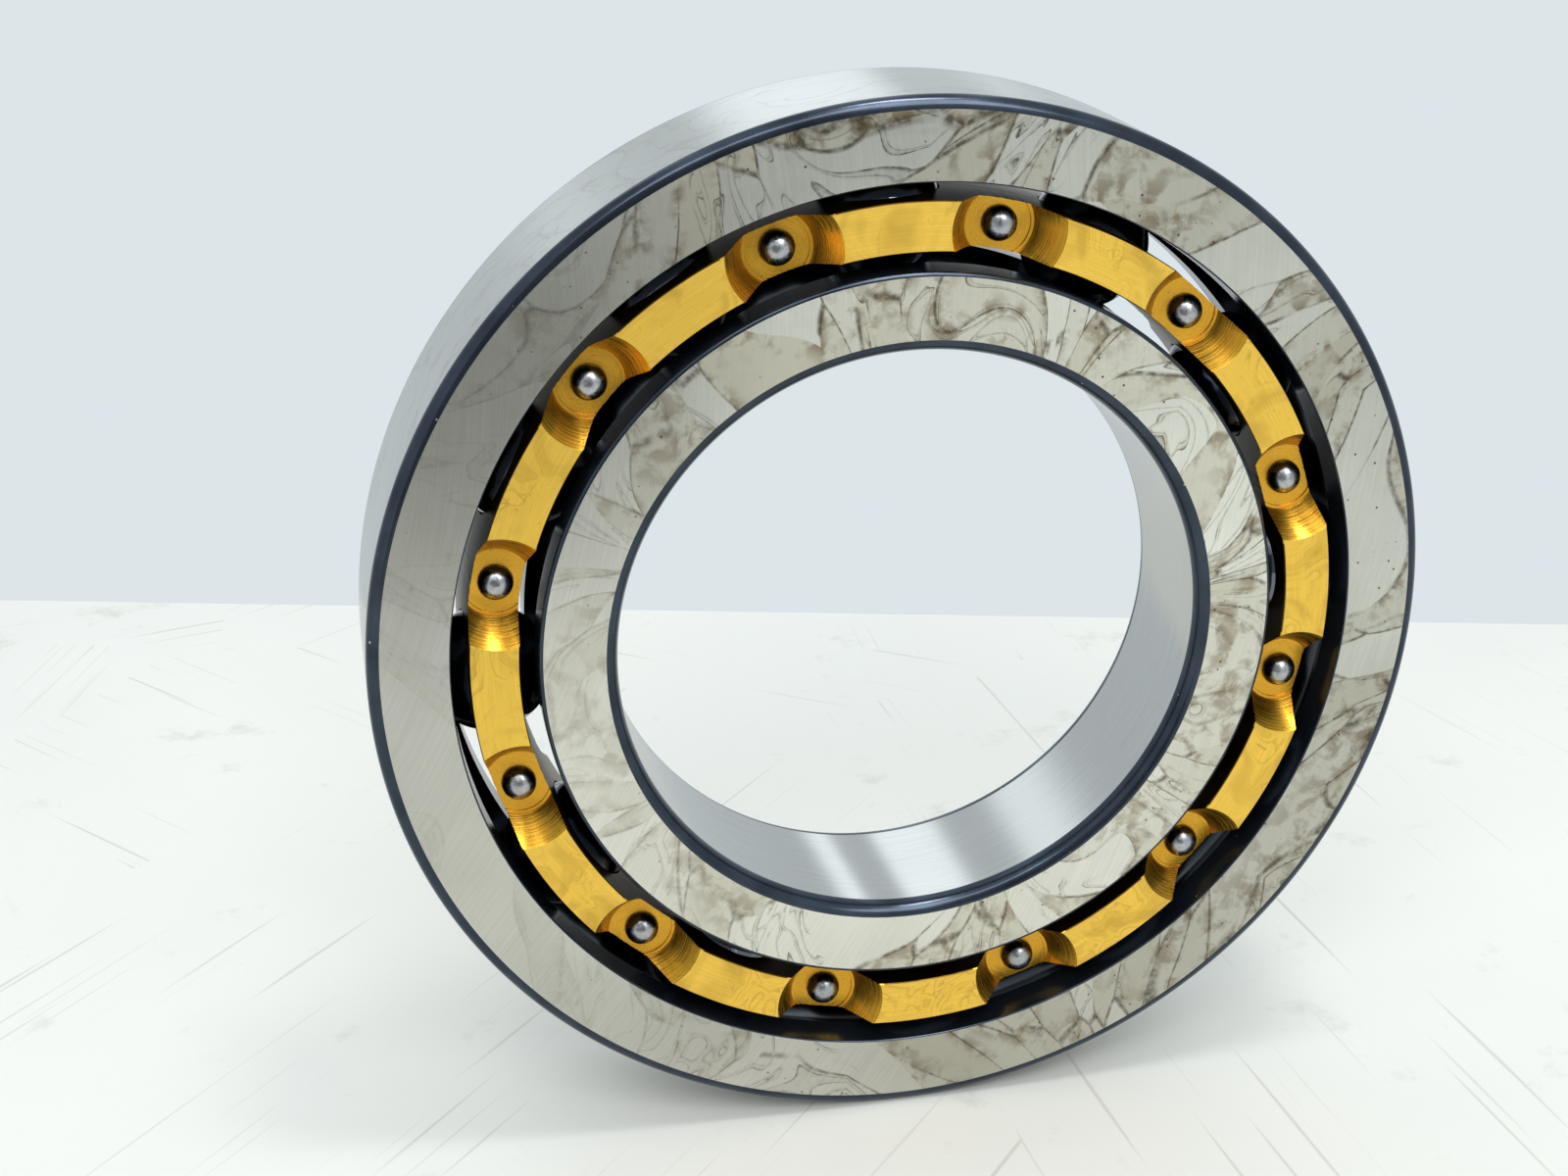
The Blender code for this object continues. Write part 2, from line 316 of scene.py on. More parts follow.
def grown(name, base, tree, values):
    """Runs a tree on a base mesh and keeps the result as a plain object with no modifier."""
    made = bpy.data.objects.new(name, base)
    bpy.context.scene.collection.objects.link(made)
    modifier = made.modifiers.new(tree.name, "NODES")
    modifier.node_group = tree
    sockets = {s.name: s.identifier for s in tree.interface.items_tree if s.in_out == "INPUT"}
    for label, value in values.items():
        modifier[sockets[label]] = value
    bpy.context.view_layer.update()
    mesh = bpy.data.meshes.new_from_object(made.evaluated_get(bpy.context.evaluated_depsgraph_get()))
    if not mesh.polygons:
        raise RuntimeError(f"{name} came out empty")
    made.modifiers.clear()
    made.data = mesh
    mesh.name = name
    return made


def outward(mesh):
    """Points every face outward."""
    bm = bmesh.new()
    bm.from_mesh(mesh)
    bmesh.ops.recalc_face_normals(bm, faces=bm.faces)
    bm.to_mesh(mesh)
    bm.free()


def smooth(mesh, sharp_angle):
    mesh.shade_smooth()
    mesh.set_sharp_from_angle(angle=radians(sharp_angle))


def turned(name, outline, segments, wrap, material):
    """A closed shape turned about the Y axis."""
    values = {"Segments": segments, "Wrap": int(wrap), "Material": material}
    made = grown(name, section_mesh(outline, wrap), turning_tree(), values)
    outward(made.data)
    smooth(made.data, 30)
    return made


def discard(*objects):
    for leftover in objects:
        bpy.data.objects.remove(leftover)


def finish_faces(mesh, materials, choose):
    """Gives each face the material whose number choose(centre, normal) returns."""
    mesh.materials.clear()
    for material in materials:
        mesh.materials.append(material)
    for face in mesh.polygons:
        face.material_index = choose(face.center, face.normal)


FLAT_SUPPORT = 0.00008   # support loops this close to a rounding keep the flats flat in the shading
CORNER_STEPS = 12
SHOULDER_CORNER_STEPS = 8
GROOVE_STEPS = 28
FACE, RIM, SCALE, RACEWAY = 0, 1, 2, 3
ON_FACE = 0.000005       # a face centre this close to the side plane lies on it
ON_RIM = 0.00003         # a facet of the rim lies this close to the rim's own radius
RACEWAY_DEPTH = 0.0001   # the raceway starts this far below the shoulder


def ring_outline(rim, shoulder, raceway, corner, outward_sign, settings):
    """The section of a ring. outward_sign is 1 where the rim is outside the raceway, and -1 at the bore."""
    groove_radius = settings.groove_conformity * 2 * BALL_RADIUS
    groove_centre = raceway - outward_sign * groove_radius
    half_angle = acos(outward_sign * (shoulder - groove_centre) / groove_radius)
    small = settings.outer_shoulder_corner if outward_sign > 0 else settings.inner_shoulder_corner
    corner_centre = (rim - outward_sign * corner[0], HALF_WIDTH - corner[1])
    back = [(rim, HALF_WIDTH - corner[1] - FLAT_SUPPORT)]
    back += arc(corner_centre, (outward_sign * corner[0], corner[1]), 0, pi / 2, CORNER_STEPS)
    back.append((corner_centre[0] - outward_sign * FLAT_SUPPORT, HALF_WIDTH))
    edge_centre = (shoulder + outward_sign * small, HALF_WIDTH - small)
    back.append((edge_centre[0] + outward_sign * FLAT_SUPPORT, HALF_WIDTH))
    back += arc(edge_centre, (-outward_sign * small, small), pi / 2, 0, SHOULDER_CORNER_STEPS)
    back.append((shoulder, HALF_WIDTH - small - FLAT_SUPPORT))
    groove_radii = (outward_sign * groove_radius, groove_radius)
    groove = arc((groove_centre, 0), groove_radii, half_angle, -half_angle, GROOVE_STEPS)
    return back + groove + [(radius, -axial) for radius, axial in reversed(back)]


def ring_finisher(rim, shoulder, corner, outward_sign):
    """Tells the ground side face, ground rim, dark corner and shoulder, and honed raceway apart."""
    rim_end = HALF_WIDTH - corner[1]

    def choose(centre, normal):
        radius = hypot(centre.x, centre.z)
        past_shoulder = outward_sign * (radius - shoulder)
        if abs(centre.y) > HALF_WIDTH - ON_FACE:
            return FACE
        if abs(radius - rim) < ON_RIM and abs(centre.y) < rim_end:
            return RIM
        if past_shoulder > RACEWAY_DEPTH and abs(centre.y) < HALF_WIDTH * 0.6:
            return RACEWAY
        return SCALE

    return choose


def make_ring(name, rim, shoulder, raceway, corner, outward_sign, settings, materials):
    outline = ring_outline(rim, shoulder, raceway, corner, outward_sign, settings)
    ring = turned(name, outline, settings.segments, True, materials[0])
    finish_faces(ring.data, materials, ring_finisher(rim, shoulder, corner, outward_sign))
    return ring


CUTTER_OVERRUN = 0.002   # the cutters run this far past the brass


def seat_tool_outline(cage):
    """The stepped cutter that bores a rivet hole and opens the conical recess in front of its seat."""
    past = CUTTER_OVERRUN
    level = cage.rivet_web / 2
    foot_radius = cage.seat_radius + cage.ledge_radial
    foot_level = level + cage.ledge_axial
    slope = tan(cage.wall_angle)
    lip = CAGE_FACE - cage.edge_bevel * 0.7
    lip_radius = foot_radius + (lip - foot_level) * slope
    return [
        (0, past),
        (cage.rivet_hole, past),
        (cage.rivet_hole, -level),
        (cage.seat_radius, -level),
        (cage.seat_radius + 0.0001, -foot_level),
        (foot_radius, -foot_level),
        (lip_radius, -lip),
        (lip_radius + past, -lip - past),
        (0, -lip - past),
    ]


def ball_outline(radius, steps):
    """A half circle from pole to pole, on the Y axis."""
    points = arc((0, 0), (radius, radius), pi / 2, -pi / 2, steps)
    points[0] = (0, radius)
    points[-1] = (0, -radius)
    return points


SEAT_REACH = 0.0165      # no milled face lies further from its rivet's axis
SEAT_MARGIN = 0.0005     # a milled face lies at most this far below its seat
ON_CYLINDER = 0.0003     # a turned face lies this close to its own radius
AT_RIM = 0.00012         # a vertex this close to the outside or the inside may carry a burr
AT_SEAT = 0.00002        # and so may one this close to a seat's level
CHIP_SCALE, WAVE_SCALE = 2600, 900   # of the burr's noise, per metre


def ragged_edges(mesh, cage):
    """Leaves a fine burr where the cutter broke through the outside and the inside of the cage."""
    level = cage.rivet_web / 2
    inside = CAGE_OUTSIDE - cage.thickness
    for vertex in mesh.vertices:
        x, y, z = vertex.co
        radius = hypot(x, z)
        at_rim = min(abs(radius - CAGE_OUTSIDE), abs(radius - inside)) < AT_RIM
        at_seat = abs(-y - level) < AT_SEAT
        if not (at_rim and at_seat):
            continue
        chip = noise.noise(Vector((x, z, 1.7)) * CHIP_SCALE)
        chip += 0.7 * noise.noise(Vector((x, z, 5.1)) * WAVE_SCALE)
        stretch = 1 + chip * cage.burr / radius
        vertex.co = (x * stretch, y, z * stretch)


FLAT, MILLED, LATHED = 0, 1, 2
POCKET_STEPS = 48        # from pole to pole, and twice as many around
SEAT_SEGMENTS = 180


def cage_finisher(cage):
    """Tells the faced flats, the milled seats and recess walls, and the lathe-turned rest apart."""
    inside = CAGE_OUTSIDE - cage.thickness
    level = cage.rivet_web / 2

    def choose(centre, normal):
        radius = hypot(centre.x, centre.z)
        if -centre.y > CAGE_FACE - cage.edge_bevel * 0.6 and abs(normal.y) > 0.9:
            return FLAT
        on_cylinder = min(abs(radius - CAGE_OUTSIDE), abs(radius - inside)) < ON_CYLINDER
        if on_cylinder and abs(normal.y) < 0.3:
            return LATHED
        angle = atan2(centre.z, centre.x) - FIRST_RIVET_ANGLE
        offset = (angle + STEP_ANGLE / 2) % STEP_ANGLE - STEP_ANGLE / 2
        from_rivet = hypot(radius * cos(offset) - PITCH_RADIUS, radius * sin(offset))
        if -centre.y > level - SEAT_MARGIN and cage.rivet_hole * 0.98 < from_rivet < SEAT_REACH:
            return MILLED
        return LATHED

    return choose


# Materials


NOISE_SPAN = {"From Min": 0.3, "From Max": 0.7}   # most of what a Noise Texture gives lies in this span


def new_material(name):
    """An empty material, its tree, and a point's position in millimetres."""
    material = bpy.data.materials.new(name)
    material.use_nodes = True
    tree = material.node_tree
    tree.nodes.clear()
    place = node(tree, "ShaderNodeTexCoord").outputs["Object"]
    millimetres = node(tree, "ShaderNodeVectorMath", {0: place, "Scale": 1000.0}, operation="SCALE")
    return material, tree, millimetres


def axis_group():
    """A shader group that gives a point's radius, angle, place along the Y axis, and outward direction."""
    known = bpy.data.node_groups.get("round the axis")
    if known:
        return known
    tree = bpy.data.node_groups.new("round the axis", "ShaderNodeTree")
    tree.interface.new_socket("Position", in_out="INPUT", socket_type="NodeSocketVector")
    for label in ("Radius", "Angle", "Axial"):
        tree.interface.new_socket(label, in_out="OUTPUT", socket_type="NodeSocketFloat")
    tree.interface.new_socket("Outward", in_out="OUTPUT", socket_type="NodeSocketVector")
    given = tree.nodes.new("NodeGroupInput").outputs["Position"]
    parts = node(tree, "ShaderNodeSeparateXYZ", {0: given}).outputs
    flat = node(tree, "ShaderNodeCombineXYZ", {"X": parts["X"], "Z": parts["Z"]})
    radius = node(tree, "ShaderNodeVectorMath", {0: flat}, operation="LENGTH").outputs["Value"]
    outward_way = node(tree, "ShaderNodeVectorMath", {0: flat}, operation="NORMALIZE")
    angle = node(tree, "ShaderNodeMath", {0: parts["Z"], 1: parts["X"]}, operation="ARCTAN2")
    sockets = {"Radius": radius, "Angle": angle, "Axial": parts["Y"], "Outward": outward_way}
    node(tree, "NodeGroupOutput", sockets)
    return tree


def drawn_out(tree, across, along, across_scale, along_scale, detail=2.5):
    """Noise drawn out into tool lines: fine across them, slow along them."""
    fine = node(tree, "ShaderNodeMath", {0: across, 1: across_scale}, operation="MULTIPLY")
    slow = node(tree, "ShaderNodeMath", {0: along, 1: along_scale}, operation="MULTIPLY")
    stroke = node(tree, "ShaderNodeCombineXYZ", {"X": fine, "Y": slow})
    sockets = {"Vector": stroke, "Scale": 1.0, "Detail": detail, "Roughness": 0.65}
    return node(tree, "ShaderNodeTexNoise", sockets)


def slanted_tape(tree, axis):
    """The face unrolled along its circumference, so that what is round comes out long across the ring.

    The angle becomes an arc of 100 mm radius and the radius is squeezed. A slow noise leans the result,
    which sets the tape edges at different slants, and another makes them sway.
    """
    squeezed = node(tree, "ShaderNodeMath", {0: axis["Radius"], 1: 0.36}, operation="MULTIPLY")
    squeezed = node(tree, "ShaderNodeMath", {0: axis["Axial"], 1: 0.8, 2: squeezed}, operation="MULTIPLY_ADD")
    across = node(tree, "ShaderNodeCombineXYZ", {"Y": squeezed})
    unrolled = node(tree, "ShaderNodeVectorMath", {0: axis["Outward"], "Scale": 100.0}, operation="SCALE")
    unrolled = node(tree, "ShaderNodeVectorMath", {0: unrolled, 1: across}, operation="ADD")
    slow = node(tree, "ShaderNodeTexNoise", {"Vector": unrolled, "Scale": 0.024, "Detail": 0.0})
    slant = node(tree, "ShaderNodeMapRange", {"Value": slow, **NOISE_SPAN, "To Min": -0.009, "To Max": 0.009})
    from_middle = node(tree, "ShaderNodeMath", {0: axis["Radius"], 1: 112.0}, operation="SUBTRACT")
    lean = node(tree, "ShaderNodeMath", {0: slant, 1: from_middle}, operation="MULTIPLY")
    leaned = node(tree, "ShaderNodeVectorRotate", {"Vector": unrolled, "Angle": lean}, rotation_type="Y_AXIS")
    sway = node(tree, "ShaderNodeTexNoise", {"Vector": leaned, "Scale": 0.05, "Detail": 1.0}).outputs["Color"]
    return node(tree, "ShaderNodeVectorMath", {0: sway, 1: (2.4,) * 3, 2: leaned}, operation="MULTIPLY_ADD")


def drying_outlines(tree, leaned, bubble_tone):
    """Level lines of a smooth field: each sharp on one side and fading on the other, beside a fainter one."""
    sockets = {"Vector": leaned, "Scale": 0.11, "Detail": 1.0, "Roughness": 0.4, "Distortion": 0.5}
    field = node(tree, "ShaderNodeTexNoise", sockets)
    levels = node(tree, "ShaderNodeMath", {0: field, 1: 6.0}, operation="MULTIPLY")
    shifted = node(tree, "ShaderNodeMath", {0: levels, 1: 0.83}, operation="ADD")
    first = node(tree, "ShaderNodeMath", {0: levels}, operation="FRACT")
    second = node(tree, "ShaderNodeMath", {0: shifted}, operation="FRACT")
    crisp = {"Value": first, "From Min": 0.03, "From Max": 0.09, "To Min": 1.0, "To Max": 0.0}
    faded = {"Value": first, "From Min": 0.0, "From Max": 0.35, "To Min": 0.34, "To Max": 0.0}
    beside = {"Value": second, "From Min": 0.02, "From Max": 0.06, "To Min": 0.75, "To Max": 0.0}
    crisp, faded, beside = (node(tree, "ShaderNodeMapRange", each) for each in (crisp, faded, beside))
    loops = node(tree, "ShaderNodeMath", {0: crisp, 1: faded}, operation="MAXIMUM")
    loops = node(tree, "ShaderNodeMath", {0: loops, 1: beside}, operation="MAXIMUM")
    region = node(tree, "ShaderNodeTexNoise", {"Vector": leaned, "Scale": 0.05, "Detail": 1.0})
    region = node(tree, "ShaderNodeMapRange", {"Value": region, "From Min": 0.46, "From Max": 0.52})
    wet = node(tree, "ShaderNodeMath", {0: bubble_tone, 1: 0.3}, operation="GREATER_THAN")
    where = node(tree, "ShaderNodeMath", {0: region, 1: wet}, operation="MULTIPLY")
    return node(tree, "ShaderNodeMath", {0: loops, 1: where}, operation="MULTIPLY")


def film_group():
    """A shader group for dried preservative film.

    The bearing was wrapped in oiled paper tape wound through its bore, so the film has long straight edges
    that run across the side faces, and the drying outlines between them are drawn out the same way.
    """
    known = bpy.data.node_groups.get("dried film")
    if known:
        return known
    tree = bpy.data.node_groups.new("dried film", "ShaderNodeTree")
    tree.interface.new_socket("Position", in_out="INPUT", socket_type="NodeSocketVector")
    tree.interface.new_socket("Amount", in_out="INPUT", socket_type="NodeSocketFloat")
    for label in ("Patch", "Outline", "Blotch", "Speck"):
        tree.interface.new_socket(label, in_out="OUTPUT", socket_type="NodeSocketFloat")
    given = tree.nodes.new("NodeGroupInput").outputs
    place, amount = given["Position"], given["Amount"]
    axis = node(tree, "ShaderNodeGroup", {"Position": place}, node_tree=axis_group()).outputs
    leaned = slanted_tape(tree, axis)

    # Patches about 14 mm wide.
    patches = {"Vector": leaned, "Scale": 1 / 14}
    cells = node(tree, "ShaderNodeTexVoronoi", patches)
    edges = node(tree, "ShaderNodeTexVoronoi", patches, feature="DISTANCE_TO_EDGE")
    tone = node(tree, "ShaderNodeSeparateColor", {0: cells.outputs["Color"]}).outputs
    covered = node(tree, "ShaderNodeMath", {0: tone["Red"], 1: 0.35}, operation="GREATER_THAN")
    depth = node(tree, "ShaderNodeMath", {0: tone["Green"], 1: 0.7, 2: 0.3}, operation="MULTIPLY_ADD")
    patch = node(tree, "ShaderNodeMath", {0: covered, 1: depth}, operation="MULTIPLY")
    patch = node(tree, "ShaderNodeMath", {0: patch, 1: amount}, operation="MULTIPLY")

    # Tape edges: a thin brown line in places, and a brown shade that fades into the covered side.
    thin = {"Value": edges, "From Min": 0.008, "From Max": 0.034, "To Min": 1.0, "To Max": 0.0}
    wide = {"Value": edges, "From Min": 0.0, "From Max": 0.28, "To Min": 1.0, "To Max": 0.0}
    thin, wide = (node(tree, "ShaderNodeMapRange", each) for each in (thin, wide))
    worn = node(tree, "ShaderNodeTexNoise", {"Vector": leaned, "Scale": 0.07})
    kept = node(tree, "ShaderNodeMapRange", {"Value": worn, "From Min": 0.44, "From Max": 0.5})
    border = node(tree, "ShaderNodeMath", {0: thin, 1: kept}, operation="MULTIPLY")
    shade = node(tree, "ShaderNodeMath", {0: wide, 1: covered}, operation="MULTIPLY")

    loops = drying_outlines(tree, leaned, tone["Blue"])
    lines = node(tree, "ShaderNodeMath", {0: loops, 1: border}, operation="MAXIMUM")
    rough = node(tree, "ShaderNodeTexNoise", {"Vector": place, "Scale": 0.5, "Detail": 3.0})
    broken = {"Value": rough, "From Min": 0.3, "From Max": 0.6, "To Min": 0.3, "To Max": 1.0}
    breakup = node(tree, "ShaderNodeMapRange", broken)
    lines = node(tree, "ShaderNodeMath", {0: lines, 1: breakup}, operation="MULTIPLY")
    lines = node(tree, "ShaderNodeMath", {0: lines, 1: amount}, operation="MULTIPLY")

    # Residue gathers along the covered side of the tape edges.
    sockets = {"Vector": place, "Scale": 0.16, "Detail": 4.0, "Roughness": 0.6, "Distortion": 0.3}
    soft = node(tree, "ShaderNodeTexNoise", sockets)
    soft = node(tree, "ShaderNodeMapRange", {"Value": soft, "From Min": 0.47, "From Max": 0.61})
    gather = node(tree, "ShaderNodeMath", {0: shade, 1: 0.75, 2: 0.04}, operation="MULTIPLY_ADD")
    blotch = node(tree, "ShaderNodeMath", {0: soft, 1: gather}, operation="MULTIPLY")
    blotch = node(tree, "ShaderNodeMath", {0: blotch, 1: amount}, operation="MULTIPLY")

    # Dried bubbles and specks of dirt, 0.4 to 0.8 mm across.
    dots = node(tree, "ShaderNodeTexVoronoi", {"Vector": place, "Scale": 0.38})
    dot = {"Value": dots, "From Min": 0.08, "From Max": 0.16, "To Min": 1.0, "To Max": 0.0}
    dot = node(tree, "ShaderNodeMapRange", dot)
    rare = node(tree, "ShaderNodeSeparateColor", {0: dots.outputs["Color"]}).outputs["Blue"]
    crowd = node(tree, "ShaderNodeTexNoise", {"Vector": leaned, "Scale": 0.06})
    crowd = {"Value": crowd, "From Min": 0.4, "From Max": 0.6, "To Min": 0.97, "To Max": 0.72}
    crowd = node(tree, "ShaderNodeMapRange", crowd)
    chosen = node(tree, "ShaderNodeMath", {0: rare, 1: crowd}, operation="GREATER_THAN")
    speck = node(tree, "ShaderNodeMath", {0: dot, 1: chosen}, operation="MULTIPLY")
    speck = node(tree, "ShaderNodeMath", {0: speck, 1: amount}, operation="MULTIPLY")
    node(tree, "NodeGroupOutput", {"Patch": patch, "Outline": lines, "Blotch": blotch, "Speck": speck})
    return tree


def under_film(tree, place, amount, finish, bare):
    """The bare colour under its film, and how much film there is."""
    sockets = {"Position": place, "Amount": amount}
    film = node(tree, "ShaderNodeGroup", sockets, node_tree=film_group()).outputs
    cover = node(tree, "ShaderNodeMath", {0: film["Patch"], 1: 0.75}, operation="MULTIPLY")
    edge = node(tree, "ShaderNodeMath", {0: film["Outline"], 1: 0.85}, operation="MULTIPLY")
    colour = bare
    layers = (
        (cover, finish.film),
        (film["Blotch"], finish.film_blotch),
        (edge, finish.film_edge),
        (film["Speck"], finish.film_edge),
    )
    for factor, over in layers:
        colour = node(tree, "ShaderNodeMix", {"Factor": factor, "A": colour, "B": over}, data_type="RGBA")
    return colour, film["Patch"]


WHEEL_CENTRE = (-330.0, 0.0, 90.0)   # of the grinding wheel's arcs on the side faces, in mm
SHADE_PATCH_CENTRE = (-112.0, 0.0, 70.0)    # of the painted shade patch on the outer ring, in mm


def ground_face_steel(finish):
    """Bearing steel ground flat on a rotary grinder: pale, with fine crossing arcs, under dried film."""
    material, tree, place = new_material("flat-ground bearing steel with dried film")
    parts = node(tree, "ShaderNodeSeparateXYZ", {0: place}).outputs

    # More film towards the right and the top, where the tape lay against the rings.
    lean = node(tree, "ShaderNodeMath", {0: parts["Z"], 1: 0.12, 2: parts["X"]}, operation="MULTIPLY_ADD")
    rightward = {"Value": lean, "From Min": -112.0, "From Max": -40.0, "To Min": 0.18, "To Max": 1.0}
    upward = {"Value": parts["Z"], "From Min": -120.0, "From Max": 60.0, "To Min": 0.84, "To Max": 1.0}
    rightward, upward = (node(tree, "ShaderNodeMapRange", each) for each in (rightward, upward))
    amount = node(tree, "ShaderNodeMath", {0: rightward, 1: upward}, operation="MULTIPLY")

    # Arcs of the grinding wheel, drawn 0.6 mm apart so that they show.
    from_wheel = node(tree, "ShaderNodeVectorMath", {0: place, 1: WHEEL_CENTRE}, operation="SUBTRACT")
    reach = node(tree, "ShaderNodeVectorMath", {0: from_wheel}, operation="LENGTH").outputs["Value"]
    grain = drawn_out(tree, reach, parts["Z"], 1.6, 0.035, 3.0)
    cloud = node(tree, "ShaderNodeTexNoise", {"Vector": place, "Scale": 0.02, "Detail": 3.0})
    fine = node(tree, "ShaderNodeMapRange", {"Value": grain, **NOISE_SPAN, "To Min": 0.93, "To Max": 1.06})
    broad = node(tree, "ShaderNodeMapRange", {"Value": cloud, **NOISE_SPAN, "To Min": 0.9, "To Max": 1.08})
    bare = node(tree, "ShaderNodeHueSaturation", {"Color": finish.ground_steel, "Value": fine})
    bare = node(tree, "ShaderNodeHueSaturation", {"Color": bare, "Value": broad})

    # Painted shade: the steel is drawn darker at the upper left of the outer ring, standing in for a shaded
    # stretch of table that it reflects.
    from_shade_patch = node(tree, "ShaderNodeVectorMath", {0: place, 1: SHADE_PATCH_CENTRE}, operation="SUBTRACT")
    shade_patch_distance = node(tree, "ShaderNodeVectorMath", {0: from_shade_patch}, operation="LENGTH").outputs["Value"]
    haze_and_painted_shade = {"Value": shade_patch_distance, "From Min": 20.0, "From Max": 90.0, "To Min": 0.62, "To Max": 1.0}
    haze_and_painted_shade = node(tree, "ShaderNodeMapRange", haze_and_painted_shade, interpolation_type="SMOOTHSTEP")
    # Painted light: the inner ring's face is drawn brighter than the outer ring's, standing in for the
    # brighter reflection it shows.
    axis = node(tree, "ShaderNodeGroup", {"Position": place}, node_tree=axis_group()).outputs
    gap = PITCH_RADIUS * 1000
    between = {"Value": axis["Radius"], "From Min": gap - 5, "From Max": gap + 5}
    painted_inner_brightening = node(tree, "ShaderNodeMapRange", {**between, "To Min": 1.3, "To Max": 0.97})
    colour, film = under_film(tree, place, amount, finish, bare)
    colour = node(tree, "ShaderNodeHueSaturation", {"Color": colour, "Value": haze_and_painted_shade})
    colour = node(tree, "ShaderNodeHueSaturation", {"Color": colour, "Value": painted_inner_brightening})
    dull = node(tree, "ShaderNodeMath", {0: film, 1: 0.12, 2: 0.36}, operation="MULTIPLY_ADD")
    bump = node(tree, "ShaderNodeBump", {"Strength": 0.35, "Distance": 0.00002, "Height": grain})
    sockets = {"Base Color": colour, "Metallic": 1.0, "Roughness": dull, "Normal": bump}
    shader = node(tree, "ShaderNodeBsdfPrincipled", sockets)
    node(tree, "ShaderNodeOutputMaterial", {"Surface": shader})
    return material


def ground_round_steel(finish):
    """Bearing steel ground between centres: bright, and lines around the cylinder fan out its highlights."""
    material, tree, place = new_material("cylindrically ground bearing steel")
    axis = node(tree, "ShaderNodeGroup", {"Position": place}, node_tree=axis_group()).outputs
    # Grinding lines, drawn 0.7 mm apart so that they show.
    grain = drawn_out(tree, axis["Axial"], axis["Angle"], 1.5, 3.0)
    fine = node(tree, "ShaderNodeMapRange", {"Value": grain, **NOISE_SPAN, "To Min": 0.93, "To Max": 1.03})
    bare = node(tree, "ShaderNodeHueSaturation", {"Color": finish.round_steel, "Value": fine})
    # The tape left its film on the outside; the bore was wiped.
    inner, outer = BORE_RADIUS * 1000 + 5, OUTSIDE_RADIUS * 1000 - 5
    outside = {"Value": axis["Radius"], "From Min": inner, "From Max": outer, "To Min": 0.02, "To Max": 0.2}
    amount = node(tree, "ShaderNodeMapRange", outside)
    colour, _ = under_film(tree, place, amount, finish, bare)
    along_axis = node(tree, "ShaderNodeCombineXYZ", {"Y": 1.0})
    bump = node(tree, "ShaderNodeBump", {"Strength": 0.1, "Distance": 0.00002, "Height": grain})
    gloss = {"Metallic": 1.0, "Roughness": 0.18, "Anisotropic": 0.8, "Tangent": along_axis, "Normal": bump}
    shader = node(tree, "ShaderNodeBsdfPrincipled", {"Base Color": colour, **gloss})
    node(tree, "ShaderNodeOutputMaterial", {"Surface": shader})
    return material


def blue_black_scale(finish):
    """Heat-treatment scale on corners and shoulders: blue-black, semi-gloss, with nicks down to the steel."""
    material, tree, place = new_material("blue-black heat-treatment scale")
    axis = node(tree, "ShaderNodeGroup", {"Position": place}, node_tree=axis_group()).outputs
    brushed = drawn_out(tree, axis["Angle"], axis["Radius"], 260.0, 0.3)
    cloud = node(tree, "ShaderNodeTexNoise", {"Vector": place, "Scale": 0.08, "Detail": 4.0})
    broad = node(tree, "ShaderNodeMapRange", {"Value": cloud, **NOISE_SPAN, "To Min": 0.7, "To Max": 1.3})
    colour = node(tree, "ShaderNodeHueSaturation", {"Color": finish.oxide, "Value": broad})
    nicks = node(tree, "ShaderNodeTexVoronoi", {"Vector": place, "Scale": 0.30})
    dot = {"Value": nicks, "From Min": 0.06, "From Max": 0.12, "To Min": 1.0, "To Max": 0.0}
    dot = node(tree, "ShaderNodeMapRange", dot)
    rare = node(tree, "ShaderNodeSeparateColor", {0: nicks.outputs["Color"]}).outputs["Red"]
    chosen = node(tree, "ShaderNodeMath", {0: rare, 1: 0.93}, operation="GREATER_THAN")
    nick = node(tree, "ShaderNodeMath", {0: dot, 1: chosen}, operation="MULTIPLY")
    sockets = {"Factor": nick, "A": colour, "B": finish.ground_steel}
    colour = node(tree, "ShaderNodeMix", sockets, data_type="RGBA")
    dull = node(tree, "ShaderNodeMapRange", {"Value": brushed, **NOISE_SPAN, "To Min": 0.15, "To Max": 0.21})
    bump = node(tree, "ShaderNodeBump", {"Strength": 0.08, "Distance": 0.00002, "Height": brushed})
    sockets = {"Base Color": colour, "Metallic": 0.85, "Roughness": dull, "Normal": bump}
    shader = node(tree, "ShaderNodeBsdfPrincipled", sockets)
    node(tree, "ShaderNodeOutputMaterial", {"Surface": shader})
    return material


def honed_raceway(finish):
    """Raceway honed after grinding: nearly mirror smooth, with faint lines along it. Its colour is kept very
    dark as painted shade for the gap between the rings.
    """
    material, tree, place = new_material("honed raceway steel kept dark for painted shade")
    axis = node(tree, "ShaderNodeGroup", {"Position": place}, node_tree=axis_group()).outputs
    grain = drawn_out(tree, axis["Axial"], axis["Angle"], 2.0, 2.0)
    fine = node(tree, "ShaderNodeMapRange", {"Value": grain, **NOISE_SPAN, "To Min": 0.85, "To Max": 1.1})
    colour = node(tree, "ShaderNodeHueSaturation", {"Color": finish.raceway, "Value": fine})
    dull = node(tree, "ShaderNodeMapRange", {"Value": grain, **NOISE_SPAN, "To Min": 0.12, "To Max": 0.22})
    sockets = {"Base Color": colour, "Metallic": 1.0, "Roughness": dull}
    shader = node(tree, "ShaderNodeBsdfPrincipled", sockets)
    node(tree, "ShaderNodeOutputMaterial", {"Surface": shader})
    return material


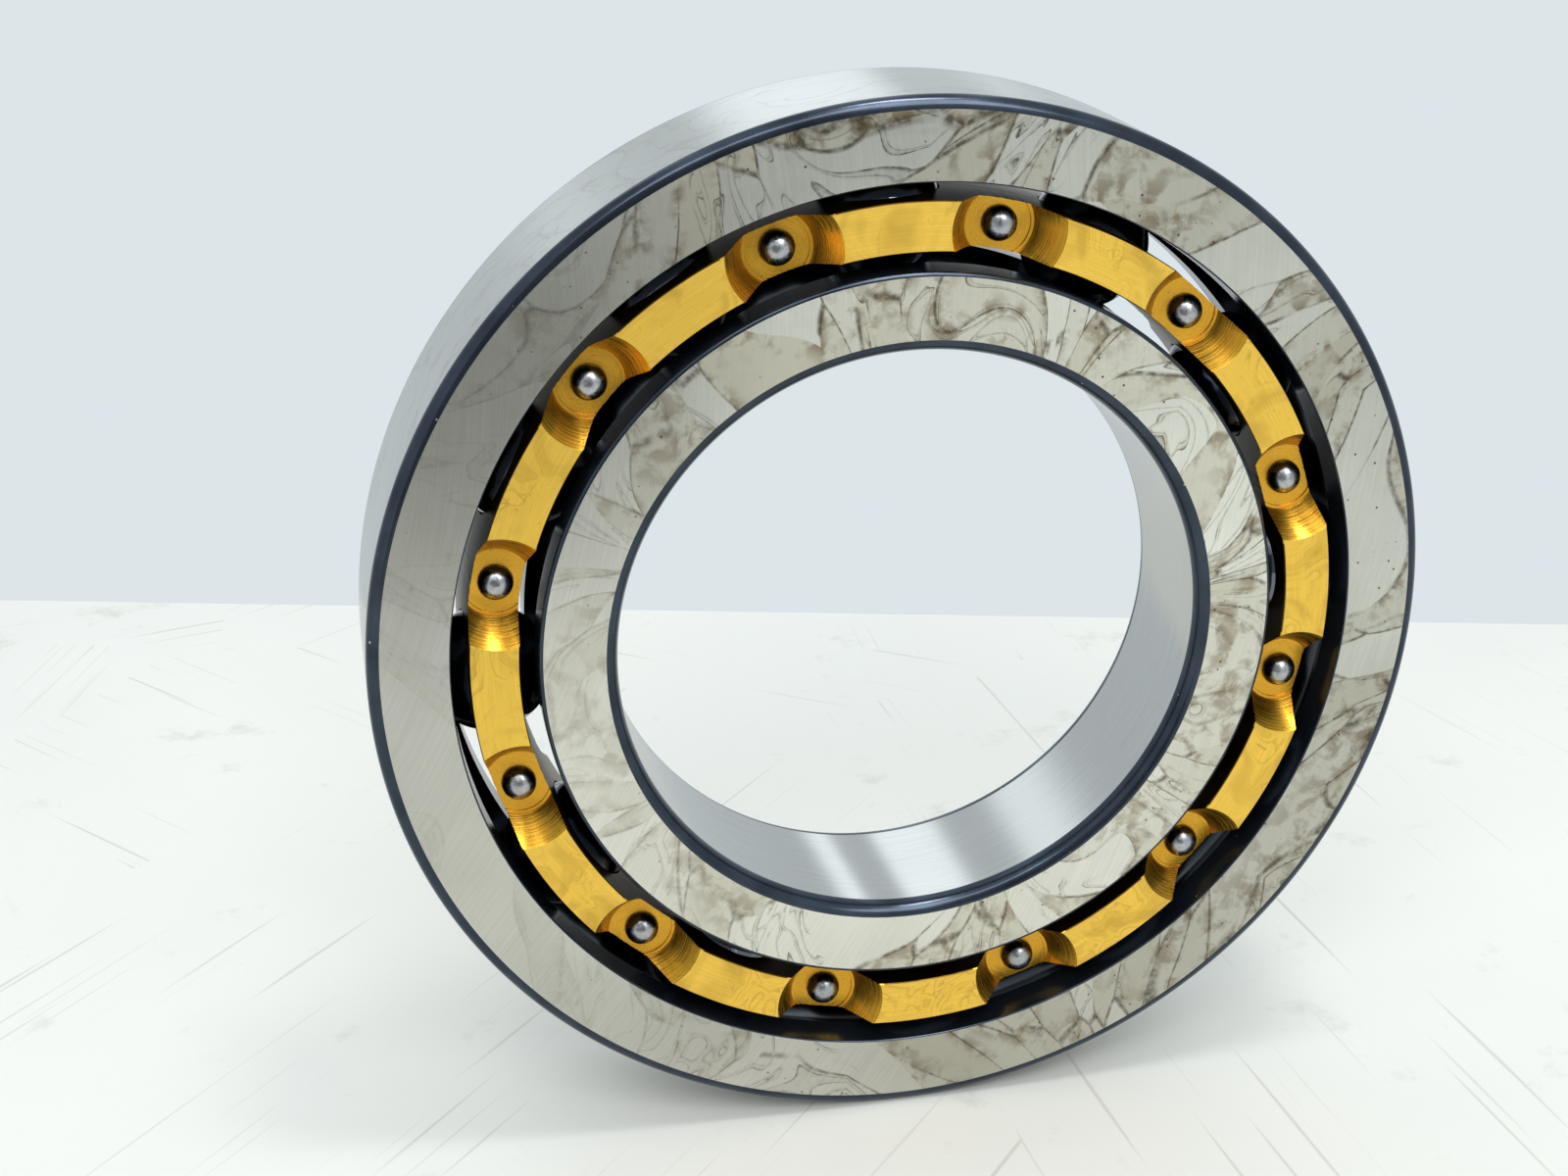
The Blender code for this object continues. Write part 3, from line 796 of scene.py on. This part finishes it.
def tarnished(tree, place, finish, bare, strength):
    """Brass with brown smears that dried with darker outlines."""
    sockets = {"Vector": place, "Scale": 0.055, "Detail": 2.0, "Distortion": 1.4}
    field = node(tree, "ShaderNodeTexNoise", sockets)
    smear = {"Value": field, "From Min": 0.5, "From Max": 0.66, "To Min": 0.0, "To Max": 0.4}
    smear = node(tree, "ShaderNodeMapRange", smear)
    levels = node(tree, "ShaderNodeMath", {0: field, 1: 9.0}, operation="MULTIPLY")
    levels = node(tree, "ShaderNodeMath", {0: levels}, operation="FRACT")
    crisp = {"Value": levels, "From Min": 0.0, "From Max": 0.07, "To Min": 0.8, "To Max": 0.0}
    faded = {"Value": levels, "From Min": 0.0, "From Max": 0.45, "To Min": 0.35, "To Max": 0.0}
    crisp, faded = (node(tree, "ShaderNodeMapRange", each) for each in (crisp, faded))
    rim = node(tree, "ShaderNodeMath", {0: crisp, 1: faded}, operation="MAXIMUM")
    region = node(tree, "ShaderNodeTexNoise", {"Vector": place, "Scale": 0.04, "Detail": 1.0})
    region = node(tree, "ShaderNodeMapRange", {"Value": region, "From Min": 0.47, "From Max": 0.56})
    rim = node(tree, "ShaderNodeMath", {0: rim, 1: region}, operation="MULTIPLY")
    sockets = {"Vector": place, "Scale": 0.7, "Detail": 3.0, "Roughness": 0.7}
    flecks = node(tree, "ShaderNodeTexNoise", sockets)
    fleck = {"Value": flecks, "From Min": 0.62, "From Max": 0.72, "To Min": 0.0, "To Max": 0.5}
    fleck = node(tree, "ShaderNodeMapRange", fleck)
    stain = node(tree, "ShaderNodeMath", {0: smear, 1: rim}, operation="MAXIMUM")
    stain = node(tree, "ShaderNodeMath", {0: stain, 1: fleck}, operation="MAXIMUM")
    stain = node(tree, "ShaderNodeMath", {0: stain, 1: strength}, operation="MULTIPLY")
    return node(tree, "ShaderNodeMix", {"Factor": stain, "A": bare, "B": finish.tarnish}, data_type="RGBA")


def faced_brass(finish):
    """Leaded brass faced on a lathe: satin gold with faint rings around the bearing's axis."""
    material, tree, place = new_material("lathe-faced brass")
    axis = node(tree, "ShaderNodeGroup", {"Position": place}, node_tree=axis_group()).outputs
    # Feed marks, drawn 0.45 mm apart so that they show.
    rings = drawn_out(tree, axis["Radius"], axis["Angle"], 2.2, 6.0)
    fine = node(tree, "ShaderNodeMapRange", {"Value": rings, **NOISE_SPAN, "To Min": 0.9, "To Max": 1.05})
    bare = node(tree, "ShaderNodeHueSaturation", {"Color": finish.brass, "Value": fine})
    colour = tarnished(tree, place, finish, bare, 0.85)
    bump = node(tree, "ShaderNodeBump", {"Strength": 0.35, "Distance": 0.00003, "Height": rings})
    gloss = {"Metallic": 1.0, "Roughness": 0.46, "Anisotropic": 0.3, "Tangent": axis["Outward"]}
    shader = node(tree, "ShaderNodeBsdfPrincipled", {"Base Color": colour, **gloss, "Normal": bump})
    node(tree, "ShaderNodeOutputMaterial", {"Surface": shader})
    return material


def from_nearest_rivet(tree, place, axis):
    """A point's place relative to the nearest rivet's axis, in the plane across it."""
    turn = node(tree, "ShaderNodeMath", {0: axis["Angle"], 1: FIRST_BALL_ANGLE}, operation="SUBTRACT")
    turn = node(tree, "ShaderNodeMath", {0: turn, 1: STEP_ANGLE, 2: 0.0}, operation="WRAP")
    turn = node(tree, "ShaderNodeMath", {0: turn, 1: STEP_ANGLE / 2}, operation="SUBTRACT")
    sockets = {"Vector": axis["Outward"], "Angle": turn}
    rivet_way = node(tree, "ShaderNodeVectorRotate", sockets, rotation_type="Y_AXIS")
    sockets = {0: rivet_way, "Scale": PITCH_RADIUS * 1000}
    rivet = node(tree, "ShaderNodeVectorMath", sockets, operation="SCALE")
    flat = node(tree, "ShaderNodeVectorMath", {0: place, 1: (1.0, 0.0, 1.0)}, operation="MULTIPLY")
    return node(tree, "ShaderNodeVectorMath", {0: flat, 1: rivet}, operation="SUBTRACT")


def milled_brass(finish):
    """Brass cut by the stepped seat cutter: rings around each rivet, bright where they face the light."""
    material, tree, place = new_material("spot-faced brass")
    axis = node(tree, "ShaderNodeGroup", {"Position": place}, node_tree=axis_group()).outputs
    local = from_nearest_rivet(tree, place, axis)
    distance = node(tree, "ShaderNodeVectorMath", {0: local}, operation="LENGTH").outputs["Value"]
    outward_way = node(tree, "ShaderNodeVectorMath", {0: local}, operation="NORMALIZE")
    parts = node(tree, "ShaderNodeSeparateXYZ", {0: local}).outputs
    around = node(tree, "ShaderNodeMath", {0: parts["Z"], 1: parts["X"]}, operation="ARCTAN2")
    height = node(tree, "ShaderNodeMath", {0: axis["Axial"]}, operation="ABSOLUTE")
    along_cutter = node(tree, "ShaderNodeMath", {0: height, 1: 0.9, 2: distance}, operation="MULTIPLY_ADD")
    # Cutter chatter, drawn 0.5 mm apart so that it shows. It is strong on the wall and faint on the seat.
    rings = drawn_out(tree, along_cutter, around, 2.0, 0.6)
    on_wall = {"Value": distance, "From Min": 8.6, "From Max": 9.4, "To Min": 0.22, "To Max": 1.0}
    on_wall = node(tree, "ShaderNodeMapRange", on_wall)
    centred = node(tree, "ShaderNodeMath", {0: rings, 1: 0.5}, operation="SUBTRACT")
    cut = node(tree, "ShaderNodeMath", {0: centred, 1: on_wall, 2: 0.5}, operation="MULTIPLY_ADD")
    fine = node(tree, "ShaderNodeMapRange", {"Value": cut, **NOISE_SPAN, "To Min": 0.74, "To Max": 1.08})
    bare = node(tree, "ShaderNodeHueSaturation", {"Color": finish.cut_brass, "Value": fine})
    colour = tarnished(tree, place, finish, bare, 0.5)
    # Pits where grains of lead were torn out. They take the same dark brass colour that paints the shade on
    # the turned brass.
    sockets = {"Vector": place, "Scale": 1.1, "Detail": 3.0, "Roughness": 0.7}
    pits = node(tree, "ShaderNodeTexNoise", sockets)
    pit = {"Value": pits, "From Min": 0.64, "From Max": 0.7, "To Min": 0.0, "To Max": 0.7}
    pit = node(tree, "ShaderNodeMapRange", pit)
    sockets = {"Factor": pit, "A": colour, "B": finish.pit_and_shade_brass}
    colour = node(tree, "ShaderNodeMix", sockets, data_type="RGBA")
    dull = node(tree, "ShaderNodeMapRange", {"Value": rings, **NOISE_SPAN, "To Min": 0.18, "To Max": 0.34})
    bump = node(tree, "ShaderNodeBump", {"Strength": 0.8, "Distance": 0.00008, "Height": cut})
    gloss = {"Metallic": 1.0, "Roughness": dull, "Anisotropic": 0.8, "Tangent": outward_way, "Normal": bump}
    shader = node(tree, "ShaderNodeBsdfPrincipled", {"Base Color": colour, **gloss})
    node(tree, "ShaderNodeOutputMaterial", {"Surface": shader})
    return material


def shade_darkened_brass(finish):
    """Brass turned to its diameters, and the pockets: coloured dark as painted shade, with lighter tarnished
    patches.
    """
    material, tree, place = new_material("shade-painted turned brass")
    axis = node(tree, "ShaderNodeGroup", {"Position": place}, node_tree=axis_group()).outputs
    rings = drawn_out(tree, axis["Axial"], axis["Angle"], 1.8, 3.0)
    sockets = {"Vector": place, "Scale": 0.12, "Detail": 4.0, "Roughness": 0.6}
    patchy = node(tree, "ShaderNodeTexNoise", sockets)
    worn = {"Value": patchy, "From Min": 0.35, "From Max": 0.7, "To Min": 0.0, "To Max": 0.4}
    worn = node(tree, "ShaderNodeMapRange", worn)
    # Painted shade: a dark brass colour, with lighter tarnished patches.
    sockets = {"Factor": worn, "A": finish.pit_and_shade_brass, "B": finish.tarnish}
    colour = node(tree, "ShaderNodeMix", sockets, data_type="RGBA")
    fine = node(tree, "ShaderNodeMapRange", {"Value": rings, **NOISE_SPAN, "To Min": 0.75, "To Max": 1.1})
    colour = node(tree, "ShaderNodeHueSaturation", {"Color": colour, "Value": fine})
    bump = node(tree, "ShaderNodeBump", {"Strength": 0.3, "Distance": 0.00004, "Height": rings})
    sockets = {"Base Color": colour, "Metallic": 1.0, "Roughness": 0.33, "Normal": bump}
    shader = node(tree, "ShaderNodeBsdfPrincipled", sockets)
    node(tree, "ShaderNodeOutputMaterial", {"Surface": shader})
    return material


def rivet_steel(finish):
    """Mild steel upset in a die: its crown is satin bright, and its flank is coloured dark as painted shade.
    """
    material, tree, place = new_material("die-formed rivet steel")
    axis = node(tree, "ShaderNodeGroup", {"Position": place}, node_tree=axis_group()).outputs
    sockets = {"Vector": place, "Scale": 0.9, "Detail": 4.0, "Roughness": 0.65}
    cloud = node(tree, "ShaderNodeTexNoise", sockets)
    # The crown stands furthest out along the axis, so the height of a point tells crown from flank.
    height = node(tree, "ShaderNodeMath", {0: axis["Axial"]}, operation="ABSOLUTE")
    height = node(tree, "ShaderNodeMath", {0: cloud, 1: 0.8, 2: height}, operation="MULTIPLY_ADD")
    top = RIVET_END * 1000
    crown = node(tree, "ShaderNodeMapRange", {"Value": height, "From Min": top - 1.3, "From Max": top - 0.2})
    mottle = node(tree, "ShaderNodeMapRange", {"Value": cloud, **NOISE_SPAN, "To Min": 0.68, "To Max": 1.15})
    bright = node(tree, "ShaderNodeHueSaturation", {"Color": finish.rivet, "Value": mottle})
    # Painted shade on the flank: the crown keeps the bright steel, and the flank is coloured dark.
    sockets = {"Factor": crown, "A": finish.rivet_flank_painted_shade, "B": bright}
    colour = node(tree, "ShaderNodeMix", sockets, data_type="RGBA")
    dull = node(tree, "ShaderNodeMapRange", {"Value": cloud, **NOISE_SPAN, "To Min": 0.18, "To Max": 0.34})
    bump = node(tree, "ShaderNodeBump", {"Strength": 0.5, "Distance": 0.00005, "Height": cloud})
    sockets = {"Base Color": colour, "Metallic": 1.0, "Roughness": dull, "Normal": bump}
    shader = node(tree, "ShaderNodeBsdfPrincipled", sockets)
    node(tree, "ShaderNodeOutputMaterial", {"Surface": shader})
    return material


def lapped_ball_steel(finish):
    """Chromium steel lapped to a mirror, with a trace of hazy oil. Its colour is darkened as painted shade
    for the gap between the rings.
    """
    material, tree, place = new_material("lapped ball steel with painted shade")
    haze_and_painted_shade = node(tree, "ShaderNodeTexNoise", {"Vector": place, "Scale": 0.12, "Detail": 3.0})
    dull = {"Value": haze_and_painted_shade, "From Min": 0.4, "From Max": 0.7, "To Min": 0.04, "To Max": 0.12}
    dull = node(tree, "ShaderNodeMapRange", dull)
    tone = node(tree, "ShaderNodeMapRange", {"Value": haze_and_painted_shade, **NOISE_SPAN, "To Min": 0.92, "To Max": 1.05})
    colour = node(tree, "ShaderNodeHueSaturation", {"Color": finish.ball, "Value": tone})
    sockets = {"Base Color": colour, "Metallic": 1.0, "Roughness": dull}
    shader = node(tree, "ShaderNodeBsdfPrincipled", sockets)
    node(tree, "ShaderNodeOutputMaterial", {"Surface": shader})
    return material


def table_top(stage):
    """White laminate: slightly warm, with faint brown scuffs and long scratches."""
    material, tree, place = new_material("white laminate table top")
    sockets = {"Vector": place, "Scale": 0.006, "Detail": 5.0, "Roughness": 0.6}
    cloud = node(tree, "ShaderNodeTexNoise", sockets)
    broad = node(tree, "ShaderNodeMapRange", {"Value": cloud, **NOISE_SPAN, "To Min": 0.95, "To Max": 1.0})
    colour = node(tree, "ShaderNodeHueSaturation", {"Color": stage.table, "Value": broad})
    # Scratches run straight within a patch of about 300 mm, each patch in a direction of its own.
    patches = node(tree, "ShaderNodeTexVoronoi", {"Vector": place, "Scale": 1 / 300}).outputs["Color"]
    patch = node(tree, "ShaderNodeSeparateColor", {0: patches}).outputs["Red"]
    turn = node(tree, "ShaderNodeMath", {0: patch, 1: pi}, operation="MULTIPLY")
    sockets = {"Vector": place, "Angle": turn}
    turned_place = node(tree, "ShaderNodeVectorRotate", sockets, rotation_type="Z_AXIS")
    parts = node(tree, "ShaderNodeSeparateXYZ", {0: turned_place}).outputs
    scratches = drawn_out(tree, parts["Y"], parts["X"], 0.35, 0.006, 1.0)
    scratch = {"Value": scratches, "From Min": 0.66, "From Max": 0.73, "To Min": 0.0, "To Max": 0.3}
    scratch = node(tree, "ShaderNodeMapRange", scratch)
    sockets = {"Vector": place, "Scale": 0.03, "Detail": 6.0, "Roughness": 0.7}
    smudges = node(tree, "ShaderNodeTexNoise", sockets)
    smudge = {"Value": smudges, "From Min": 0.6, "From Max": 0.75, "To Min": 0.0, "To Max": 0.3}
    smudge = node(tree, "ShaderNodeMapRange", smudge)
    marks = node(tree, "ShaderNodeMath", {0: scratch, 1: smudge}, operation="MAXIMUM")
    colour = node(tree, "ShaderNodeMix", {"Factor": marks, "A": colour, "B": stage.scuff}, data_type="RGBA")
    dull = node(tree, "ShaderNodeMapRange", {"Value": cloud, **NOISE_SPAN, "To Min": 0.4, "To Max": 0.6})
    shader = node(tree, "ShaderNodeBsdfPrincipled", {"Base Color": colour, "Roughness": dull})
    node(tree, "ShaderNodeOutputMaterial", {"Surface": shader})
    return material


def grey_card():
    """Matt grey board, which only the steel reflects."""
    material, tree, _ = new_material("matt grey board")
    shader = node(tree, "ShaderNodeBsdfPrincipled", {"Base Color": linear("#87878A"), "Roughness": 0.9})
    node(tree, "ShaderNodeOutputMaterial", {"Surface": shader})
    return material


# Operators


class BEARING_OT_rings(bpy.types.Operator):
    """Turn the outer and the inner ring, with ground faces, dark corners and honed raceways"""

    bl_idname = "bearing.rings"
    bl_label = "Make the Rings"

    def execute(self, context):
        rings = context.scene.bearing_rings
        finish = context.scene.bearing_finish
        materials = [
            ground_face_steel(finish),
            ground_round_steel(finish),
            blue_black_scale(finish),
            honed_raceway(finish),
        ]
        reach = BALL_RADIUS + rings.raceway_clearance
        outer_corner = (rings.outer_corner_radial, rings.outer_corner_axial)
        outer_sizes = (OUTSIDE_RADIUS, OUTER_SHOULDER, PITCH_RADIUS + reach, outer_corner, 1)
        outer = make_ring("ground_outer_ring", *outer_sizes, rings, materials)
        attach(outer, "outer_ring")
        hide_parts("outer_ring")
        bore_corner = (rings.bore_corner_radial, rings.bore_corner_axial)
        inner_sizes = (BORE_RADIUS, INNER_SHOULDER, PITCH_RADIUS - reach, bore_corner, -1)
        inner = make_ring("ground_inner_ring", *inner_sizes, rings, materials)
        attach(inner, "inner_ring")
        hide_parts("inner_ring")
        return {"FINISHED"}


class BEARING_OT_cage(bpy.types.Operator):
    """Turn and mill the two halves of the brass cage"""

    bl_idname = "bearing.cage"
    bl_label = "Make the Cage"

    def execute(self, context):
        cage = context.scene.bearing_cage
        finish = context.scene.bearing_finish
        materials = [faced_brass(finish), milled_brass(finish), shade_darkened_brass(finish)]
        inside = CAGE_OUTSIDE - cage.thickness
        bevel = cage.edge_bevel
        blank_outline = [
            (CAGE_OUTSIDE, -CAGE_JOINT),
            (CAGE_OUTSIDE, bevel - CAGE_FACE),
            (CAGE_OUTSIDE - bevel, -CAGE_FACE),
            (inside + bevel, -CAGE_FACE),
            (inside, bevel - CAGE_FACE),
            (inside, -CAGE_JOINT),
        ]
        blank = turned("cage_blank", blank_outline, cage.segments, True, materials[FLAT])
        spacing = {"Count": BALL_COUNT, "Radius": PITCH_RADIUS, "Step": STEP_ANGLE}
        around = {**spacing, "Material": materials[MILLED]}
        pocket_radius = BALL_RADIUS + cage.pocket_clearance
        pocket_outline = ball_outline(pocket_radius, POCKET_STEPS)
        sphere = turned("pocket_tool", pocket_outline, 2 * POCKET_STEPS, False, materials[LATHED])
        at_balls = {**around, "First Angle": FIRST_BALL_ANGLE}
        pockets = grown("pocket_tools", sphere.data, spacing_tree(), at_balls)
        stepped = turned("seat_tool", seat_tool_outline(cage), SEAT_SEGMENTS, False, materials[MILLED])
        at_rivets = {**around, "First Angle": FIRST_RIVET_ANGLE}
        seats = grown("seat_tools", stepped.data, spacing_tree(), at_rivets)
        tools = {"Pocket Tools": pockets, "Seat Tools": seats, "Material": materials[FLAT]}
        front = grown("milled_cage_front", blank.data, milling_tree(), tools)
        discard(blank, sphere, pockets, stepped, seats)
        mesh = front.data
        ragged_edges(mesh, cage)
        mesh.update()
        finish_faces(mesh, materials, cage_finisher(cage))
        smooth(mesh, 28)
        # The back half is the same part, turned over about the line through the first ball.
        back_mesh = mesh.copy()
        line = (cos(FIRST_BALL_ANGLE), 0, sin(FIRST_BALL_ANGLE))
        back_mesh.transform(Matrix.Rotation(pi, 4, line))
        back = bpy.data.objects.new("milled_cage_back", back_mesh)
        context.scene.collection.objects.link(back)
        for half, cad_name in ((front, "cage_front"), (back, "cage_back")):
            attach(half, "cage")
            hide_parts(cad_name)
        return {"FINISHED"}


RIVET_GAP = 0.00003   # keeps a head just off its seat
RIVET_FOOT = 0.0002   # height of the flank under the dome
RIVET_UNDERCUT = 0.0001   # how far the flank is drawn in at its seat
DOME_STEPS = 14
RIVET_SEGMENTS = 48


class BEARING_OT_rivets(bpy.types.Operator):
    """Set the steel rivets that hold the cage halves together"""

    bl_idname = "bearing.rivets"
    bl_label = "Make the Rivets"

    def execute(self, context):
        cage = context.scene.bearing_cage
        steel = rivet_steel(context.scene.bearing_finish)
        level = cage.rivet_web / 2 + RIVET_GAP
        foot = level + RIVET_FOOT
        dome = arc((0, foot), (cage.rivet_head, RIVET_END - foot), pi / 2, 0, DOME_STEPS)
        dome[0] = (0, RIVET_END)
        half = dome + [(cage.rivet_head - RIVET_UNDERCUT, level), (cage.rivet_shank, level)]
        outline = half + [(radius, -axial) for radius, axial in reversed(half)]
        rivet = turned("rivet_shape", outline, RIVET_SEGMENTS, False, steel)
        values = {
            "Count": BALL_COUNT,
            "Radius": PITCH_RADIUS,
            "First Angle": FIRST_RIVET_ANGLE,
            "Step": STEP_ANGLE,
            "Material": steel,
        }
        rivets = grown("dome_rivets", rivet.data, spacing_tree(), values)
        discard(rivet)
        smooth(rivets.data, 40)
        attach(rivets, "cage")
        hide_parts(*RIVETS)
        return {"FINISHED"}


BALL_STEPS = 32   # from pole to pole, and twice as many around


class BEARING_OT_balls(bpy.types.Operator):
    """Lap the balls and put one in each pocket"""

    bl_idname = "bearing.balls"
    bl_label = "Make the Balls"

    def execute(self, context):
        steel = lapped_ball_steel(context.scene.bearing_finish)
        ball = turned("ball_shape", ball_outline(BALL_RADIUS, BALL_STEPS), 2 * BALL_STEPS, False, steel)
        tree = spacing_tree()
        for body, centre in BALL_CENTRES.items():
            values = {
                "Count": 1,
                "Radius": PITCH_RADIUS,
                "First Angle": atan2(centre.z, centre.x),
                "Step": 0.0,
                "Material": steel,
            }
            made = grown("lapped_" + body, ball.data, tree, values)
            made.data.shade_smooth()
            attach(made, body)
            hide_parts(body)
        discard(ball)
        return {"FINISHED"}


# Each strip's middle and half width, as the left-to-right part of a unit direction, and its gain over
# the surround.
CEILING_STRIPS = ((0.12, 0.14, 1.15), (-0.3, 0.12, 1.0), (0.38, 0.035, 1.3))
TABLE_NEAR, TABLE_SIDE = -2.4, 2.2      # how far the table reaches, in metres
CAMERA_PLACE = (-0.1511, -0.5582, 0.2367)
CAMERA_AIM = (-0.0246, 0.0301, -0.0032)
CAMERA_LENS = 51.69                     # focal length in millimetres


class BEARING_OT_stage(bpy.types.Operator):
    """Put the bearing on a plain pale table under soft light, seen from the front left"""

    bl_idname = "bearing.stage"
    bl_label = "Set the Stage"

    def execute(self, context):
        stage = context.scene.bearing_stage
        floor_mesh = bpy.data.meshes.new("table_top")
        near, side, far = TABLE_NEAR, TABLE_SIDE, stage.edge_distance
        corners = [(-side, near), (side, near), (side, far), (-side, far)]
        floor_mesh.from_pydata([(x, y, 0) for x, y in corners], [], [(0, 1, 2, 3)])
        placed = Matrix.Translation((0, 0, -OUTSIDE_RADIUS)) @ Matrix.Rotation(stage.edge_turn, 4, "Z")
        floor_mesh.transform(placed)
        floor_mesh.materials.append(table_top(stage))
        floor = bpy.data.objects.new("table_top", floor_mesh)
        context.scene.collection.objects.link(floor)
        self.light_surround(context, stage)
        self.hang_lamp("overhead_softbox", place=(0.25, -0.2, 1.4), size=(0.2, 0.35), power=5.5)
        # This one shows only in reflections, as the highlight on the top corners.
        panel = self.hang_lamp("corner_panel", place=(0.43, -1.0, 1.35), size=(0.6, 1.2), power=12)
        panel.visible_diffuse = False
        self.hang_lamp("front_softbox", place=(-0.3, -1.2, 1.3), size=(1.2, 0.8), power=12)
        self.hang_flag("dark_flag", place=(-0.19, -0.65, 0.3), size=(0.62, 0.9))
        context.scene.view_settings.view_transform = "Standard"
        camera = bpy.data.objects.new("camera", bpy.data.cameras.new("camera"))
        context.scene.collection.objects.link(camera)
        camera.location = CAMERA_PLACE
        camera.rotation_euler = (Vector(CAMERA_AIM) - camera.location).to_track_quat("-Z", "Y").to_euler()
        camera.data.lens = CAMERA_LENS
        context.scene.camera = camera
        return {"FINISHED"}

    def light_surround(self, context, stage):
        """An even pale surround with long ceiling strips, which are the bright bands in the bore."""
        world = bpy.data.worlds.new("pale surround")
        world.use_nodes = True
        context.scene.world = world
        tree = world.node_tree
        tree.nodes.clear()
        around = node(tree, "ShaderNodeTexCoord").outputs["Generated"]
        way = node(tree, "ShaderNodeSeparateXYZ", {0: around})
        raised = {"Value": way.outputs["Z"], "From Min": 0.12, "From Max": 0.3}
        raised = node(tree, "ShaderNodeMapRange", raised, interpolation_type="SMOOTHSTEP")
        strength = stage.surround_strength
        for middle, half_width, gain in CEILING_STRIPS:
            off = node(tree, "ShaderNodeMath", {0: way.outputs["X"], 1: middle}, operation="SUBTRACT")
            off = node(tree, "ShaderNodeMath", {0: off}, operation="ABSOLUTE")
            across = {"Value": off, "From Min": half_width * 0.6, "From Max": half_width}
            fade = {**across, "To Min": gain, "To Max": 0.0}
            strip = node(tree, "ShaderNodeMapRange", fade, interpolation_type="SMOOTHSTEP")
            sockets = {0: strip, 1: raised, 2: strength}
            strength = node(tree, "ShaderNodeMath", sockets, operation="MULTIPLY_ADD")
        background = node(tree, "ShaderNodeBackground", {"Color": stage.surround, "Strength": strength})
        node(tree, "ShaderNodeOutputWorld", {"Surface": background})

    def hang_flag(self, name, place, size):
        """A dark card behind the camera. It shows only as a shade in the steel, and casts no shadow."""
        mesh = bpy.data.meshes.new(name)
        corners = [(-0.5, -0.5), (0.5, -0.5), (0.5, 0.5), (-0.5, 0.5)]
        points = [(place[0] + x * size[0], place[1], place[2] + z * size[1]) for x, z in corners]
        mesh.from_pydata(points, [], [(0, 1, 2, 3)])
        mesh.materials.append(grey_card())
        flag = bpy.data.objects.new(name, mesh)
        bpy.context.scene.collection.objects.link(flag)
        flag.visible_camera = flag.visible_diffuse = flag.visible_shadow = False

    def hang_lamp(self, name, place, size, power):
        """A rectangular lamp that faces the bearing."""
        lamp = bpy.data.objects.new(name, bpy.data.lights.new(name, "AREA"))
        bpy.context.scene.collection.objects.link(lamp)
        lamp.data.shape = "RECTANGLE"
        lamp.data.size, lamp.data.size_y = size
        lamp.data.energy = power
        lamp.location = place
        lamp.rotation_euler = (-Vector(place)).to_track_quat("-Z", "Y").to_euler()
        return lamp


class BEARING_PT_panel(bpy.types.Panel):
    """The bearing's makers and sizes"""

    bl_idname = "BEARING_PT_panel"
    bl_label = "Ball Bearing"
    bl_space_type = "VIEW_3D"
    bl_region_type = "UI"
    bl_category = "Bearing"

    def draw(self, context):
        for operator in OPERATORS:
            self.layout.operator(operator.bl_idname)
        for owner in SETTINGS:
            box = self.layout.box()
            group = getattr(context.scene, owner)
            for label in group.bl_rna.properties.keys():
                if label not in ("rna_type", "name"):
                    box.prop(group, label)


OPERATORS = (BEARING_OT_rings, BEARING_OT_cage, BEARING_OT_rivets, BEARING_OT_balls, BEARING_OT_stage)
SETTINGS = {
    "bearing_rings": BearingRingSettings,
    "bearing_cage": BearingCageSettings,
    "bearing_finish": BearingFinishSettings,
    "bearing_stage": BearingStageSettings,
}


def register():
    for cls in (*SETTINGS.values(), *OPERATORS, BEARING_PT_panel):
        bpy.utils.register_class(cls)
    for name, group in SETTINGS.items():
        setattr(bpy.types.Scene, name, PointerProperty(type=group))


def unregister():
    for name in SETTINGS:
        delattr(bpy.types.Scene, name)
    for cls in reversed((*SETTINGS.values(), *OPERATORS, BEARING_PT_panel)):
        bpy.utils.unregister_class(cls)


def main():
    register()
    bpy.ops.bearing.rings()
    bpy.ops.bearing.cage()
    bpy.ops.bearing.rivets()
    bpy.ops.bearing.balls()
    bpy.ops.bearing.stage()


if __name__ == "__main__":
    main()
